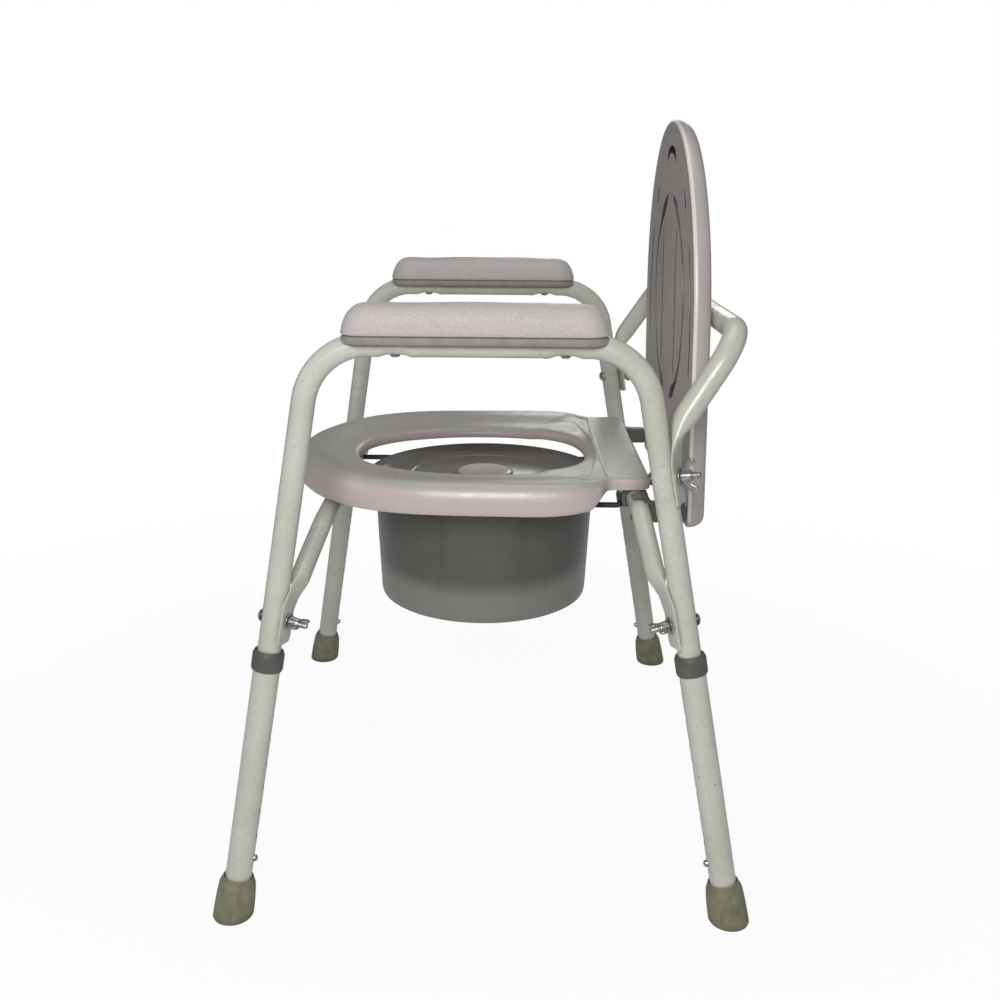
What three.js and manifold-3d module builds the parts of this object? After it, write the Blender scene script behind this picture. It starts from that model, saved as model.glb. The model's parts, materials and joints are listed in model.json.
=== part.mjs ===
// Height-adjustable commode chair: two bent-tube side frames joined by bolted crossbars and
// a back tube, telescopic legs with snap buttons, arm pads, an oval seat, a lid that stands up
// as the backrest, and a lidded pail on two rails.
// Millimetres, +Z up, -Y is the front, +X is the sitter's left. Origin: floor, centre of chair.
import * as THREE from 'three';
import { mergeVertices } from 'three/addons/utils/BufferGeometryUtils.js';
import Module from 'manifold-3d';

const wasm = await Module();
wasm.setup();

// ---- driving dimensions ----
const GAP = 0.3;                     // clearance between neighbouring pieces
const LEG_X0 = 304.3;                // leg centres at the floor, from the chair's centre
const LEG_Y0 = 243.7;
const LEG_SLOPE_X = -0.0907;         // sideways lean per mm of height
const FRONT_SLOPE_Y = 0.1598;        // fore-and-aft lean of each leg per mm of height
const REAR_SLOPE_Y = -0.1836;
const ARM_Z = 556;                   // arm tube's centre

// tubes: outer and inner radius
const UPPER_TUBE = { outer: 11.1, inner: 9.9 };
const LEG_TUBE = { outer: 12.7, inner: 11.5 };
const BAR_TUBE = { outer: 9.5, inner: 8.2 };
const RAIL_TUBE = { outer: 3, inner: 1.6 };
const FLAT_HALF = 1.4;               // half thickness of a pressed tube end
const FLAT_INNER_HALF = 0.45;

const FRONT_BAR = { y: -163, z: 363 };
const REAR_BAR = { y: 154, z: 382 }; // also the axis of the seat clips and lid hinges
const BACK_BAR = { y: 227.5, z: 568 };
const BOLT_Z = 303;
const BACK_BOLT_Z = 438.5;
const BAR_TURN = 0.28;               // how far bolts turn outward from fore and aft
const BACK_TURN = 0.42;
const BOLT_HOLE_R = 3.8;
const BUTTON_Z = 62;
const BUTTON_HOLE_R = 4.1;
const LEG_FOOT_Z = 7;
const LEG_TOP_Z = 262;
const PAIL_Y = -3;

// ---- materials ----
const standard = (settings) => new THREE.MeshStandardMaterial(settings);
const MATERIALS = {
  frame: standard({ color: 0xc6c8ba, roughness: 0.35, metalness: 0.1 }),
  pad: standard({ color: 0xcdc6c6, roughness: 0.75 }),
  seat: standard({ color: 0xa39d9b, roughness: 0.4 }),
  lid: standard({ color: 0x8b8582, roughness: 0.45 }),
  pail: standard({ color: 0x6a6866, roughness: 0.45 }),
  collar: standard({ color: 0x5c5a5c, roughness: 0.6 }),
  tip: standard({ color: 0x85826f, roughness: 0.9 }),
  steel: standard({ color: 0xb5b6b4, roughness: 0.35, metalness: 0.9 }),
  rail: standard({ color: 0x2b2a29, roughness: 0.5, metalness: 0.4 }),
};

// ---- vectors and legs ----
const vec = (x, y, z) => new THREE.Vector3(x, y, z);
const UP = vec(0, 0, 1);
const along = (point, direction, distance) => point.clone().addScaledVector(direction, distance);
const squareTo = (vector, axis) => along(vector, axis, -vector.dot(axis)).normalize();

// a leg on the +X side; inward, square to the leg, faces the middle of the chair along Y
function makeLeg(name, inwardY, slope) {
  const axis = vec(LEG_SLOPE_X, slope, 1).normalize();
  return { name, slope, y0: -inwardY * LEG_Y0, axis, inward: squareTo(vec(0, inwardY, 0), axis) };
}
const FRONT_LEG = makeLeg('front', 1, FRONT_SLOPE_Y);
const REAR_LEG = makeLeg('rear', -1, REAR_SLOPE_Y);
const legX = (z) => LEG_X0 + LEG_SLOPE_X * z;
const legPoint = (leg, z) => vec(legX(z), leg.y0 + leg.slope * z, z);
const ARM_X = legX(ARM_Z);

// a bolt's direction, head to nut: way is 1 towards the chair's middle, -1 away from it
function boltDirection(leg, way, turn) {
  const outward = leg.inward.clone().cross(leg.axis);
  if (outward.x < 0) outward.negate();
  return leg.inward.clone().multiplyScalar(way * Math.cos(turn))
    .addScaledVector(outward, Math.sin(turn)).normalize();
}
// wings: rough direction of the wing nut's wings
const FRONT_BOLT = {
  name: 'front', leg: FRONT_LEG, z: BOLT_Z,
  direction: boltDirection(FRONT_LEG, 1, BAR_TURN), wings: vec(0.95, 0, 0.1),
};
const REAR_BOLT = {
  name: 'rear', leg: REAR_LEG, z: BOLT_Z,
  direction: boltDirection(REAR_LEG, 1, BAR_TURN), wings: vec(0.95, 0, 0.1),
};
const BACK_BOLT = {
  name: 'back_tube', leg: REAR_LEG, z: BACK_BOLT_Z,
  direction: boltDirection(REAR_LEG, -1, BACK_TURN), wings: vec(0, 0, 1),
};
const BOLTS = [FRONT_BOLT, REAR_BOLT, BACK_BOLT];

// ---- solids ----
// positions only, welded, without degenerate triangles, and facing outward
function clean(geometry) {
  const bare = geometry.clone();
  bare.deleteAttribute('normal');
  if (bare.attributes.uv) bare.deleteAttribute('uv');
  const merged = mergeVertices(bare, 1e-4);
  const source = merged.index.array;
  const position = merged.attributes.position;
  const corner = (index) => vec(0, 0, 0).fromBufferAttribute(position, index);
  const kept = [];
  let volume = 0;
  for (let i = 0; i < source.length; i += 3) {
    const [first, second, third] = [source[i], source[i + 1], source[i + 2]];
    if (first === second || second === third || first === third) continue;
    kept.push(first, second, third);
    volume += corner(first).dot(corner(second).cross(corner(third)));
  }
  if (volume < 0) {
    for (let i = 0; i < kept.length; i += 3) {
      [kept[i + 1], kept[i + 2]] = [kept[i + 2], kept[i + 1]];
    }
  }
  merged.setIndex(kept);
  return merged;
}

function solid(geometry) {
  const cleaned = clean(geometry);
  return new wasm.Manifold(new wasm.Mesh({
    numProp: 3,
    vertProperties: Float32Array.from(cleaned.attributes.position.array),
    triVerts: Uint32Array.from(cleaned.index.array),
  }));
}

function surface(manifold) {
  const mesh = manifold.getMesh();
  const geometry = new THREE.BufferGeometry();
  const positions = Float32Array.from(mesh.vertProperties);
  geometry.setAttribute('position', new THREE.BufferAttribute(positions, 3));
  geometry.setIndex(new THREE.BufferAttribute(Uint32Array.from(mesh.triVerts), 1));
  return geometry;
}

const cut = (geometry, ...tools) =>
  surface(tools.reduce((body, tool) => body.subtract(solid(tool)), solid(geometry)));
const join = (geometry, ...more) =>
  surface(more.reduce((body, part) => body.add(solid(part)), solid(geometry)));
const mirror = (geometry) => clean(geometry.clone().scale(-1, 1, 1));

// ---- shape builders ----
const points2 = (pairs) => pairs.map(([x, y]) => new THREE.Vector2(x, y));
const polygon = (pairs) => new THREE.Shape(points2(pairs));
const extrude = (shape, depth, options) =>
  new THREE.ExtrudeGeometry(shape, { depth, bevelEnabled: false, ...options });
const bevel = (thickness, bevelSegments) => ({
  bevelEnabled: true, bevelThickness: thickness, bevelSize: thickness,
  bevelOffset: -thickness, bevelSegments,
});

// an axis-aligned outline of [x, y, corner radius]; the first point is always sharp
function softOutline(corners) {
  const shape = new THREE.Shape();
  shape.moveTo(corners[0][0], corners[0][1]);
  for (let i = 1; i < corners.length; i++) {
    const [x, y, radius] = corners[i];
    const [lastX, lastY] = corners[i - 1];
    const [nextX, nextY] = corners[(i + 1) % corners.length];
    if (!radius) {
      shape.lineTo(x, y);
      continue;
    }
    shape.lineTo(x - radius * Math.sign(x - lastX), y - radius * Math.sign(y - lastY));
    shape.quadraticCurveTo(
      x, y, x + radius * Math.sign(nextX - x), y + radius * Math.sign(nextY - y));
  }
  return shape;
}

// turns a geometry's Y axis to the given axis and moves its origin to base
function stand(geometry, base, axis) {
  const turn = new THREE.Quaternion().setFromUnitVectors(vec(0, 1, 0), axis.clone().normalize());
  return geometry.applyQuaternion(turn).translate(base.x, base.y, base.z);
}

// a straight round bar between two points
function rod(start, end, radius, segments) {
  const run = end.clone().sub(start);
  const bar = new THREE.CylinderGeometry(radius, radius, run.length(), segments);
  return stand(bar, start.clone().add(end).multiplyScalar(0.5), run);
}
const drill = (centre, direction, from, to, radius) =>
  rod(along(centre, direction, from), along(centre, direction, to), radius, 6);
const boltHole = ({ leg, z, direction }) =>
  drill(legPoint(leg, z), direction, -20, 20, BOLT_HOLE_R);

// a profile of [radius, height] turned about a line from base along axis
const turned = (profile, base, axis, segments) =>
  stand(new THREE.LatheGeometry(points2(profile), segments), base, axis);

// a path with rounded corners: each station is [x, y, z, bend radius, arc steps]
function roundedPath(stations) {
  const corners = stations.map(([x, y, z]) => vec(x, y, z));
  const path = [corners[0]];
  for (let i = 1; i < corners.length - 1; i++) {
    const [, , , radius, steps] = stations[i];
    const corner = corners[i];
    if (!radius) {
      path.push(corner);
      continue;
    }
    const back = corners[i - 1].clone().sub(corner).normalize();
    const ahead = corners[i + 1].clone().sub(corner).normalize();
    const half = back.angleTo(ahead) / 2;
    const tangent = radius / Math.tan(half);
    const centre = along(corner, back.clone().add(ahead).normalize(), radius / Math.sin(half));
    const start = along(corner, back, tangent).sub(centre);
    const end = along(corner, ahead, tangent).sub(centre);
    const sweep = start.angleTo(end);
    for (let k = 0; k <= steps; k++) {
      const share = k / steps;
      const startWeight = Math.sin((1 - share) * sweep) / Math.sin(sweep);
      const endWeight = Math.sin(share * sweep) / Math.sin(sweep);
      path.push(along(along(centre, start, startWeight), end, endWeight));
    }
  }
  path.push(corners[corners.length - 1]);
  return path;
}

// completes a half path that ends on the centre plane
const bothHalves = (half) =>
  [...half, ...half.slice(0, -1).reverse().map(([x, ...rest]) => [-x, ...rest])];

// A hollow bar: an extruded ring whose stations are laid on the path.
// section(point, angle, isInner) gives two offsets across the path;
// side(point) is the direction of the second.
function hollow(path, side, section, outerSegments, innerSegments) {
  const circle = (count, radius) => points2(Array.from({ length: count }, (_, k) => {
    const angle = 2 * Math.PI * k / count;
    return [radius * Math.cos(angle), radius * Math.sin(angle)];
  }));
  const ring = new THREE.Shape(circle(outerSegments, 1));
  ring.holes.push(new THREE.Path(circle(innerSegments, 0.5)));
  const steps = path.length - 1;
  const geometry = extrude(ring, steps, { steps });
  const frames = path.map((point, i) => {
    const tangent = vec(0, 0, 0);
    if (i > 0) tangent.add(point.clone().sub(path[i - 1]).normalize());
    if (i < steps) tangent.add(path[i + 1].clone().sub(point).normalize());
    tangent.normalize();
    const second = squareTo(side(point), tangent);
    return { point, second, first: tangent.clone().cross(second).normalize() };
  });
  const position = geometry.attributes.position;
  for (let k = 0; k < position.count; k++) {
    const x = position.getX(k);
    const y = position.getY(k);
    const { point, first, second } = frames[Math.round(position.getZ(k))];
    const offsets = section(point, Math.atan2(y, x), Math.hypot(x, y) < 0.75);
    const placed = along(along(point, first, offsets[0]), second, offsets[1]);
    position.setXYZ(k, placed.x, placed.y, placed.z);
  }
  return geometry;
}

const roundSection = ({ outer, inner }) => (point, angle, isInner) => {
  const radius = isInner ? inner : outer;
  return [radius * Math.cos(angle), radius * Math.sin(angle)];
};

function smooth(x) {
  const clamped = Math.min(1, Math.max(0, x));
  return clamped * clamped * (3 - 2 * clamped);
}

// a round tube pressed thin in its second direction where flatness(point) nears 1
const pressedSection = ({ outer, inner }, flatness) => (point, angle, isInner) => {
  const flat = flatness(point);
  const radius = isInner ? inner : outer;
  const wide = radius + flat * (outer * 0.32);
  const thin = radius + flat * ((isInner ? FLAT_INNER_HALF : FLAT_HALF) - radius);
  const power = 1 - 0.35 * flat;      // squarer as it flattens
  const bulge = (value) => Math.sign(value) * Math.abs(value) ** power;
  return [wide * bulge(Math.cos(angle)), thin * bulge(Math.sin(angle))];
};

// an outline of [y, z] about a bar's centre, extruded along X
const ALONG_X = new THREE.Matrix4().makeBasis(vec(0, 1, 0), vec(0, 0, 1), vec(1, 0, 0));
const onBar = (outline, bar, startX, width) =>
  extrude(polygon(outline), width).applyMatrix4(ALONG_X).translate(startX, bar.y, bar.z);

const chair = new THREE.Group();
function add(name, geometry, material) {
  const cleaned = clean(geometry);
  cleaned.computeVertexNormals();
  const mesh = new THREE.Mesh(cleaned, material);
  mesh.name = name;
  chair.add(mesh);
}
// one piece on each side of the chair
function pair(name, geometry, material) {
  add(`${name}_left`, geometry, material);
  add(`${name}_right`, mirror(geometry), material);
}

// ---- side frames ----
const UPPER_END_Z = 45;              // frame's lower ends, inside the leg tubes
const CORNER_R = 60;
const PAD_SCREWS = [{ name: 'front', y: -80 }, { name: 'rear', y: 72 }];
const sideNormal = () => vec(1, 0, -LEG_SLOPE_X).normalize();   // square to the leaning frame
const armPoint = (y) => vec(ARM_X, y, ARM_Z);

function sideFrame() {
  const path = roundedPath([
    legPoint(FRONT_LEG, UPPER_END_Z).toArray(),
    [...legPoint(FRONT_LEG, ARM_Z).toArray(), CORNER_R, 5],
    [...legPoint(REAR_LEG, ARM_Z).toArray(), CORNER_R, 5],
    legPoint(REAR_LEG, UPPER_END_Z).toArray(),
  ]);
  return cut(
    hollow(path, sideNormal, roundSection(UPPER_TUBE), 12, 6),
    ...BOLTS.map(boltHole),
    ...[FRONT_LEG, REAR_LEG].map((leg) =>
      drill(legPoint(leg, BUTTON_Z), leg.inward, 5, 15, BUTTON_HOLE_R)),
    ...PAD_SCREWS.map(({ y }) => drill(armPoint(y), UP, -20, 20, 2.9)),
  );
}
pair('side_frame', sideFrame(), MATERIALS.frame);

// ---- arm pads and their screws ----
const PAD = { frontY: -128, rearY: 110, width: 50, bottom: 558, top: 594, corner: 17, bevel: 8 };
const PAD_CROWN = 2.2;               // drop of the top towards its long edges
const PAD_HOLE_TOP = 583;

function padBody() {
  const halfWidth = PAD.width / 2;
  const halfLength = (PAD.rearY - PAD.frontY) / 2;
  const outline = softOutline([
    [-halfWidth + PAD.corner, -halfLength],
    [halfWidth, -halfLength, PAD.corner], [halfWidth, halfLength, PAD.corner],
    [-halfWidth, halfLength, PAD.corner], [-halfWidth, -halfLength, PAD.corner],
  ]);
  const body = extrude(outline, PAD.top - PAD.bottom - PAD.bevel - 2,
    { curveSegments: 3, ...bevel(PAD.bevel, 2) });
  const position = body.attributes.position;
  for (let i = 0; i < position.count; i++) {
    const x = position.getX(i);
    const z = position.getZ(i);
    // the lower edge is nearly square, the top is crowned
    if (z < 0) position.setZ(i, z * 0.25);
    else if (z > 20) position.setZ(i, z - PAD_CROWN * (x / halfWidth) ** 2);
  }
  return body.translate(ARM_X - 1, (PAD.frontY + PAD.rearY) / 2, PAD.bottom + 2);
}

function armPad() {
  const groove = rod(armPoint(PAD.frontY - 20), armPoint(PAD.rearY + 20),
    UPPER_TUBE.outer + 0.9, 12);
  const holes = PAD_SCREWS.map(({ y }) => drill(armPoint(y), UP, 0, PAD_HOLE_TOP - ARM_Z, 2.7));
  return cut(padBody(), groove, ...holes);
}
pair('arm_pad', armPad(), MATERIALS.pad);

// [radius, height] from the head's crown
const PAD_SCREW_PROFILE = [[0, 0], [3, 0.5], [4.6, 3.2], [2, 3.2], [2, 40], [0, 40]];
for (const { name, y } of PAD_SCREWS) {
  const base = along(armPoint(y), UP, -UPPER_TUBE.outer - GAP - 3.3);
  pair(`pad_screw_${name}`, turned(PAD_SCREW_PROFILE, base, UP, 6), MATERIALS.steel);
}

// ---- crossbars and back tube, with pressed ends ----
// pressed end's centre from the leg's centre, along the bolt
const END_OFFSET = UPPER_TUBE.outer + 0.25 + GAP + FLAT_HALF;
const endPoint = ({ leg, direction }, z, extra = 0) =>
  along(legPoint(leg, z), direction, END_OFFSET + extra).toArray();

// half paths from the +X end to the centre: [x, y, z, bend radius, arc steps]
const FRONT_HALF = [
  endPoint(FRONT_BOLT, 281), endPoint(FRONT_BOLT, 314, 0.2),
  [266.5, -176.3, 325, 12, 3], [238, -172.5, 337.5],
  [170, -163.3, FRONT_BAR.z, 60, 2], [0, FRONT_BAR.y, FRONT_BAR.z],
];
const REAR_HALF = [
  endPoint(REAR_BOLT, 281), endPoint(REAR_BOLT, 316, 0.2),
  [266, 167, 331, 14, 3], [245, 161.5, 343.5],
  [188, REAR_BAR.y, REAR_BAR.z, 30, 3], [0, REAR_BAR.y, REAR_BAR.z],
];
const BACK_HALF = [
  endPoint(BACK_BOLT, 414), endPoint(BACK_BOLT, 449),
  [legX(484) + 3, 173.5, 484, 45, 4],
  [251.5, BACK_BAR.y, BACK_BAR.z, 40, 4], [0, BACK_BAR.y, BACK_BAR.z],
];

// flatness fading over a length, from 4 mm inside the leg's line
const flatBesideLeg = (length) => (point) =>
  1 - smooth((legX(point.z) - Math.abs(point.x) - 4) / length);
const flatBelow = (point) => 1 - smooth((point.z - 460) / 40);

// thinSide is the thin direction along the run; it turns to the bolt's where pressed flat
function pressedBar(half, tube, bolt, thinSide, flatness) {
  const end = bolt.direction.clone().multiplyScalar(Math.sign(bolt.direction.y));
  const side = (point) => {
    const flat = flatness(point);
    const endSide = vec(point.x < 0 ? -end.x : end.x, end.y, end.z);
    return thinSide.clone().multiplyScalar(1 - flat).addScaledVector(endSide, flat);
  };
  const bar = hollow(roundedPath(bothHalves(half)), side, pressedSection(tube, flatness), 12, 6);
  const hole = boltHole(bolt);
  return cut(bar, hole, mirror(hole));
}
const BAR_SIDE = vec(0, 1, 0);
add('front_crossbar',
  pressedBar(FRONT_HALF, BAR_TUBE, FRONT_BOLT, BAR_SIDE, flatBesideLeg(22)), MATERIALS.frame);
add('rear_crossbar',
  pressedBar(REAR_HALF, BAR_TUBE, REAR_BOLT, BAR_SIDE, flatBesideLeg(20)), MATERIALS.frame);
add('back_tube',
  pressedBar(BACK_HALF, UPPER_TUBE, BACK_BOLT, vec(0, 0.82, -0.57), flatBelow), MATERIALS.frame);

// ---- carriage bolts, washers and wing nuts ----
const HEAD_HEIGHT = 3.6;
const WASHER_T = 1.3;
// profiles of [radius, height]
const BOLT_PROFILE = [
  [0, 0], [3.2, 0.5], [6.3, HEAD_HEIGHT], [3, HEAD_HEIGHT], [3, 49.4], [0, 49.4],
];
const WASHER_PROFILE = [[3.7, 0], [8, 0], [8, WASHER_T], [3.7, WASHER_T], [3.7, 0]];
const NUT_HUB_PROFILE = [[3.6, 0], [5.6, 0], [4.8, 9.5], [3.6, 9.5], [3.6, 0]];

// about the Y axis, seat face at y = 0, wings along Z
function wingNut() {
  const hub = new THREE.LatheGeometry(points2(NUT_HUB_PROFILE), 8);
  const outline = new THREE.Shape();
  outline.moveTo(4.2, 0.8);
  outline.lineTo(6, 0.8);
  outline.lineTo(12.5, 5.2);
  outline.quadraticCurveTo(16.5, 8.5, 15.6, 12);
  outline.quadraticCurveTo(13.2, 14.2, 10.4, 12.4);
  outline.lineTo(5, 7.2);
  outline.lineTo(4.2, 7.2);
  const wing = extrude(outline, 2, { curveSegments: 2 }).translate(0, 0, -1);
  return join(hub, wing.clone().rotateY(-Math.PI / 2), wing.clone().rotateY(Math.PI / 2));
}

for (const { name, leg, z, direction, wings } of BOLTS) {
  const onBolt = (distance) => along(legPoint(leg, z), direction, distance);
  const crown = onBolt(-(UPPER_TUBE.outer + 0.4 + HEAD_HEIGHT));
  pair(`bolt_${name}`, turned(BOLT_PROFILE, crown, direction, 8), MATERIALS.steel);
  const washer = END_OFFSET + FLAT_HALF + 0.75;
  pair(`washer_${name}`, turned(WASHER_PROFILE, onBolt(washer), direction, 8), MATERIALS.steel);
  const wingAxis = squareTo(wings, direction);
  const nutFrame = new THREE.Matrix4()
    .makeBasis(direction.clone().cross(wingAxis), direction, wingAxis)
    .setPosition(onBolt(washer + WASHER_T + GAP));
  pair(`wing_nut_${name}`, wingNut().applyMatrix4(nutFrame), MATERIALS.steel);
}

// ---- lower legs, collars, rubber tips and snap buttons ----
const HOLE_PITCH = 25.4;
const HOLE_COUNT = 7;
const BUTTON_R = 3.4;
const COLLAR = { bottom: 252.8, top: 272, radius: 15, bore: 13.2, guide: 11.7 };
const TIP_FOOT_R = 20.5;
const TIP_TOP_R = 15;
// [height, radius]
const TIP_RINGS = [
  [0, TIP_FOOT_R - 2.5], [3, TIP_FOOT_R], [14, TIP_FOOT_R - 1.3], [30, TIP_TOP_R + 1],
  [42, TIP_TOP_R],
];
// leaf spring's side view: [along the leg, inward]
const LEAF_OUTLINE = [
  [-9, 6.3], [6, 6.3], [9, 4.6], [22, -3.4], [23, -3.2], [23.3, -2.2], [9.6, 5.6], [6.4, 7],
  [-9, 7],
];
// [radius, distance inward from the leg's centre]
const BUTTON_PROFILE = [[0, 6], [BUTTON_R, 6], [BUTTON_R, 14.4], [2, 16], [0, 16.3]];

function lowerLeg(leg) {
  const path = [legPoint(leg, LEG_FOOT_Z), legPoint(leg, LEG_TOP_Z)];
  const holes = Array.from({ length: HOLE_COUNT }, (_, k) => {
    const centre = along(legPoint(leg, BUTTON_Z), leg.axis, k * HOLE_PITCH);
    return drill(centre, leg.inward, 6, 18, BUTTON_HOLE_R);
  });
  return cut(hollow(path, sideNormal, roundSection(LEG_TUBE), 12, 12), ...holes);
}

// sleeve over the leg tube's mouth with a guide lip round the upper tube
function collar(leg) {
  const heightAt = (z) => (z - COLLAR.bottom) / leg.axis.z;
  const top = heightAt(COLLAR.top);
  const step = heightAt(LEG_TOP_Z) + 0.8;
  return turned([
    [COLLAR.bore, 0], [COLLAR.radius, 0], [COLLAR.radius, top], [COLLAR.guide, top],
    [COLLAR.guide, step], [COLLAR.bore, step], [COLLAR.bore, 0],
  ], legPoint(leg, COLLAR.bottom), leg.axis, 14);
}

// a cup whose rings follow the leg while its foot stays flat
function rubberTip(leg) {
  const steps = TIP_RINGS.length - 1;
  const body = new THREE.CylinderGeometry(1, 1, steps, 14, steps).translate(0, steps / 2, 0);
  const position = body.attributes.position;
  for (let k = 0; k < position.count; k++) {
    const [z, radius] = TIP_RINGS[Math.round(position.getY(k))];
    const unitX = position.getX(k);
    const unitY = position.getZ(k);
    const length = Math.hypot(unitX, unitY);
    const scale = length > 0.5 ? radius / length : 0;     // cap centres stay on the axis
    const x = unitX * scale;
    const y = unitY * scale;
    const tilt = -smooth((z - 8) / 30) * (LEG_SLOPE_X * x + leg.slope * y);
    const centre = legPoint(leg, z);
    position.setXYZ(k, centre.x + x, centre.y + y, z + tilt);
  }
  return cut(body, rod(legPoint(leg, LEG_FOOT_Z - GAP), legPoint(leg, 60), 13.4, 12));
}

// a domed pin with its leaf spring inside the upper tube
function snapButton(leg) {
  const base = legPoint(leg, BUTTON_Z);
  const pin = turned(BUTTON_PROFILE, base, leg.inward, 6);
  const frame = new THREE.Matrix4()
    .makeBasis(leg.axis, leg.inward, leg.axis.clone().cross(leg.inward));
  const strip = extrude(polygon(LEAF_OUTLINE), 5).translate(0, 0, -2.5)
    .applyMatrix4(frame).translate(base.x, base.y, base.z);
  return join(pin, strip);
}

for (const leg of [FRONT_LEG, REAR_LEG]) {
  pair(`lower_leg_${leg.name}`, lowerLeg(leg), MATERIALS.frame);
  pair(`collar_${leg.name}`, collar(leg), MATERIALS.collar);
  pair(`rubber_tip_${leg.name}`, rubberTip(leg), MATERIALS.tip);
  pair(`snap_button_${leg.name}`, snapButton(leg), MATERIALS.steel);
}

// ---- pail rails, bowed out round the pail ----
const RAIL = { middleX: 129.5, endX: 98, z: 362.5 };

function pailRail() {
  const bend = (x, fromPail, radius) => [x, PAIL_Y + fromPail, RAIL.z, radius, 3];
  const path = roundedPath([
    [RAIL.endX, FRONT_BAR.y + BAR_TUBE.outer + 0.5, RAIL.z],
    bend(RAIL.endX, -109, 22), bend(RAIL.middleX, -42, 60),
    bend(RAIL.middleX, 42, 60), bend(RAIL.endX, 109, 22),
    [RAIL.endX, REAR_BAR.y - 12, RAIL.z, 8, 3],
    [RAIL.endX, REAR_BAR.y - 2.5, REAR_BAR.z - BAR_TUBE.outer - 1.6],
  ]);
  return hollow(path, () => vec(1, 0, 0.2), roundSection(RAIL_TUBE), 8, 4);
}
pair('pail_rail', pailRail(), MATERIALS.rail);

// ---- seat: an oval shell round the opening, joined to a rear flange ----
const SEAT_CENTRE_Y = -16;           // centre the outlines are described about
// +X halves of the outlines, front to rear: [x, y]
const SEAT_OUTLINE = [
  [0, -213], [30, -211], [60, -204], [91, -190.5], [120, -173.5], [145, -151], [162, -127],
  [174.5, -98], [181.5, -66], [184.5, -32], [186, 8], [187, 50], [185, 84], [177, 107],
  [160, 119], [120, 124], [60, 126], [0, 127],
];
const SEAT_OPENING = [
  [0, -144], [30, -140], [58, -126], [82, -98], [98, -58], [105, -16], [103, 28], [92, 66],
  [70, 93], [38, 107], [0, 111],
];
// shell's section: [share of the way from opening to outline, offset outward, height];
// points without a height lie on the skirt's lower edge
const SEAT_SECTION = [
  [0, 0, 387], [0, 1, 395.4], [0, 10, 398.4], [0.55, 0, 404.2],
  [1, -17, 406.5], [1, -7, 404], [1, -1.2, 395.5], [1, 0, 386], [1, -2],
  [1, -5.5], [1, -4, 388], [1, -11, 399.4], [0.55, 0, 400.2],
  [0, 15, 395], [0, 4.5, 391.5], [0, 4.5, 387],
];
// the skirt rises towards the rear; angle 0 is the front
const skirtFoot = (angle) => 374.8 + 14 * smooth((Math.abs(angle) - 1.9) / 0.75);

// an outline's radius about the seat's centre as a function of angle
function radiusByAngle(half) {
  const mirrored = half.filter(([x]) => x > 0.5).reverse().map(([x, y]) => [-x, y]);
  const points = [...half, ...mirrored].map(([x, y]) => vec(x, y, 0));
  const samples = new THREE.CatmullRomCurve3(points, true, 'catmullrom', 0.5).getPoints(400)
    .map(({ x, y }) => [Math.atan2(x, -(y - SEAT_CENTRE_Y)), Math.hypot(x, y - SEAT_CENTRE_Y)])
    .sort((one, other) => one[0] - other[0]);
  return (angle) => {
    const i = samples.findIndex(([sampleAngle]) => sampleAngle >= angle);
    if (i <= 0) return samples[0][1];
    const [angle0, radius0] = samples[i - 1];
    const [angle1, radius1] = samples[i];
    const share = angle1 === angle0 ? 0 : (angle - angle0) / (angle1 - angle0);
    return radius0 + (radius1 - radius0) * share;
  };
}

// a torus whose vertices are laid on the shell's section
function seatRing() {
  const openingR = radiusByAngle(SEAT_OPENING);
  const outlineR = radiusByAngle(SEAT_OUTLINE);
  const count = SEAT_SECTION.length;
  const segments = 32;
  const ring = new THREE.TorusGeometry(10, 1, count, segments);
  for (let i = 0; i <= segments; i++) {
    const angle = -Math.PI + (2 * Math.PI * (i % segments)) / segments;
    const inner = openingR(angle);
    const outer = outlineR(angle);
    for (let j = 0; j <= count; j++) {
      const [share, offset, height = skirtFoot(angle)] = SEAT_SECTION[j % count];
      const radius = inner * (1 - share) + outer * share + offset;
      ring.attributes.position.setXYZ(j * (segments + 1) + i,
        radius * Math.sin(angle), SEAT_CENTRE_Y - radius * Math.cos(angle), height);
    }
  }
  return ring;
}

function flangeOutline(inset, frontY, corner) {
  const halfWidth = 148 - inset;
  const rearY = 169 - inset;
  return softOutline([
    [-halfWidth, frontY], [halfWidth, frontY],
    [halfWidth, rearY, corner], [-halfWidth, rearY, corner],
  ]);
}

function seat() {
  // the flange's deck starts inside the ring's rear rim
  const deck = extrude(flangeOutline(0, 113.7, 10), 7.5, { curveSegments: 3, ...bevel(3, 1) })
    .translate(0, 0, 395.8);
  const hollowBelow = extrude(flangeOutline(5, 90, 2.5), 22, { curveSegments: 2 })
    .translate(0, 0, 380.5);
  return surface(solid(deck).subtract(solid(hollowBelow)).add(solid(seatRing())));
}
add('seat', seat(), MATERIALS.seat);

// ---- seat clips on the rear crossbar, and rests on the front one ----
// outlines of [y, z] from the bar's centre
const SEAT_CLIP_TOP = [
  [-13, 16.5], [-8, 16.5], [-5, 11.5], [5, 11.5], [6, 16.5], [7.5, 16.5], [7.5, 20.1],
  [-18, 20.1], [-18, 16.5],
];
const SEAT_REST = [[-9, 10.3], [-4, 10], [4, 10], [9, 10.3], [9, 30.6], [-9, 34.2]];
const HINGE_LUG = [[11.4, -14], [47.0, -14], [46.6, 4], [30, 4], [11.4, 6]];

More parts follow.
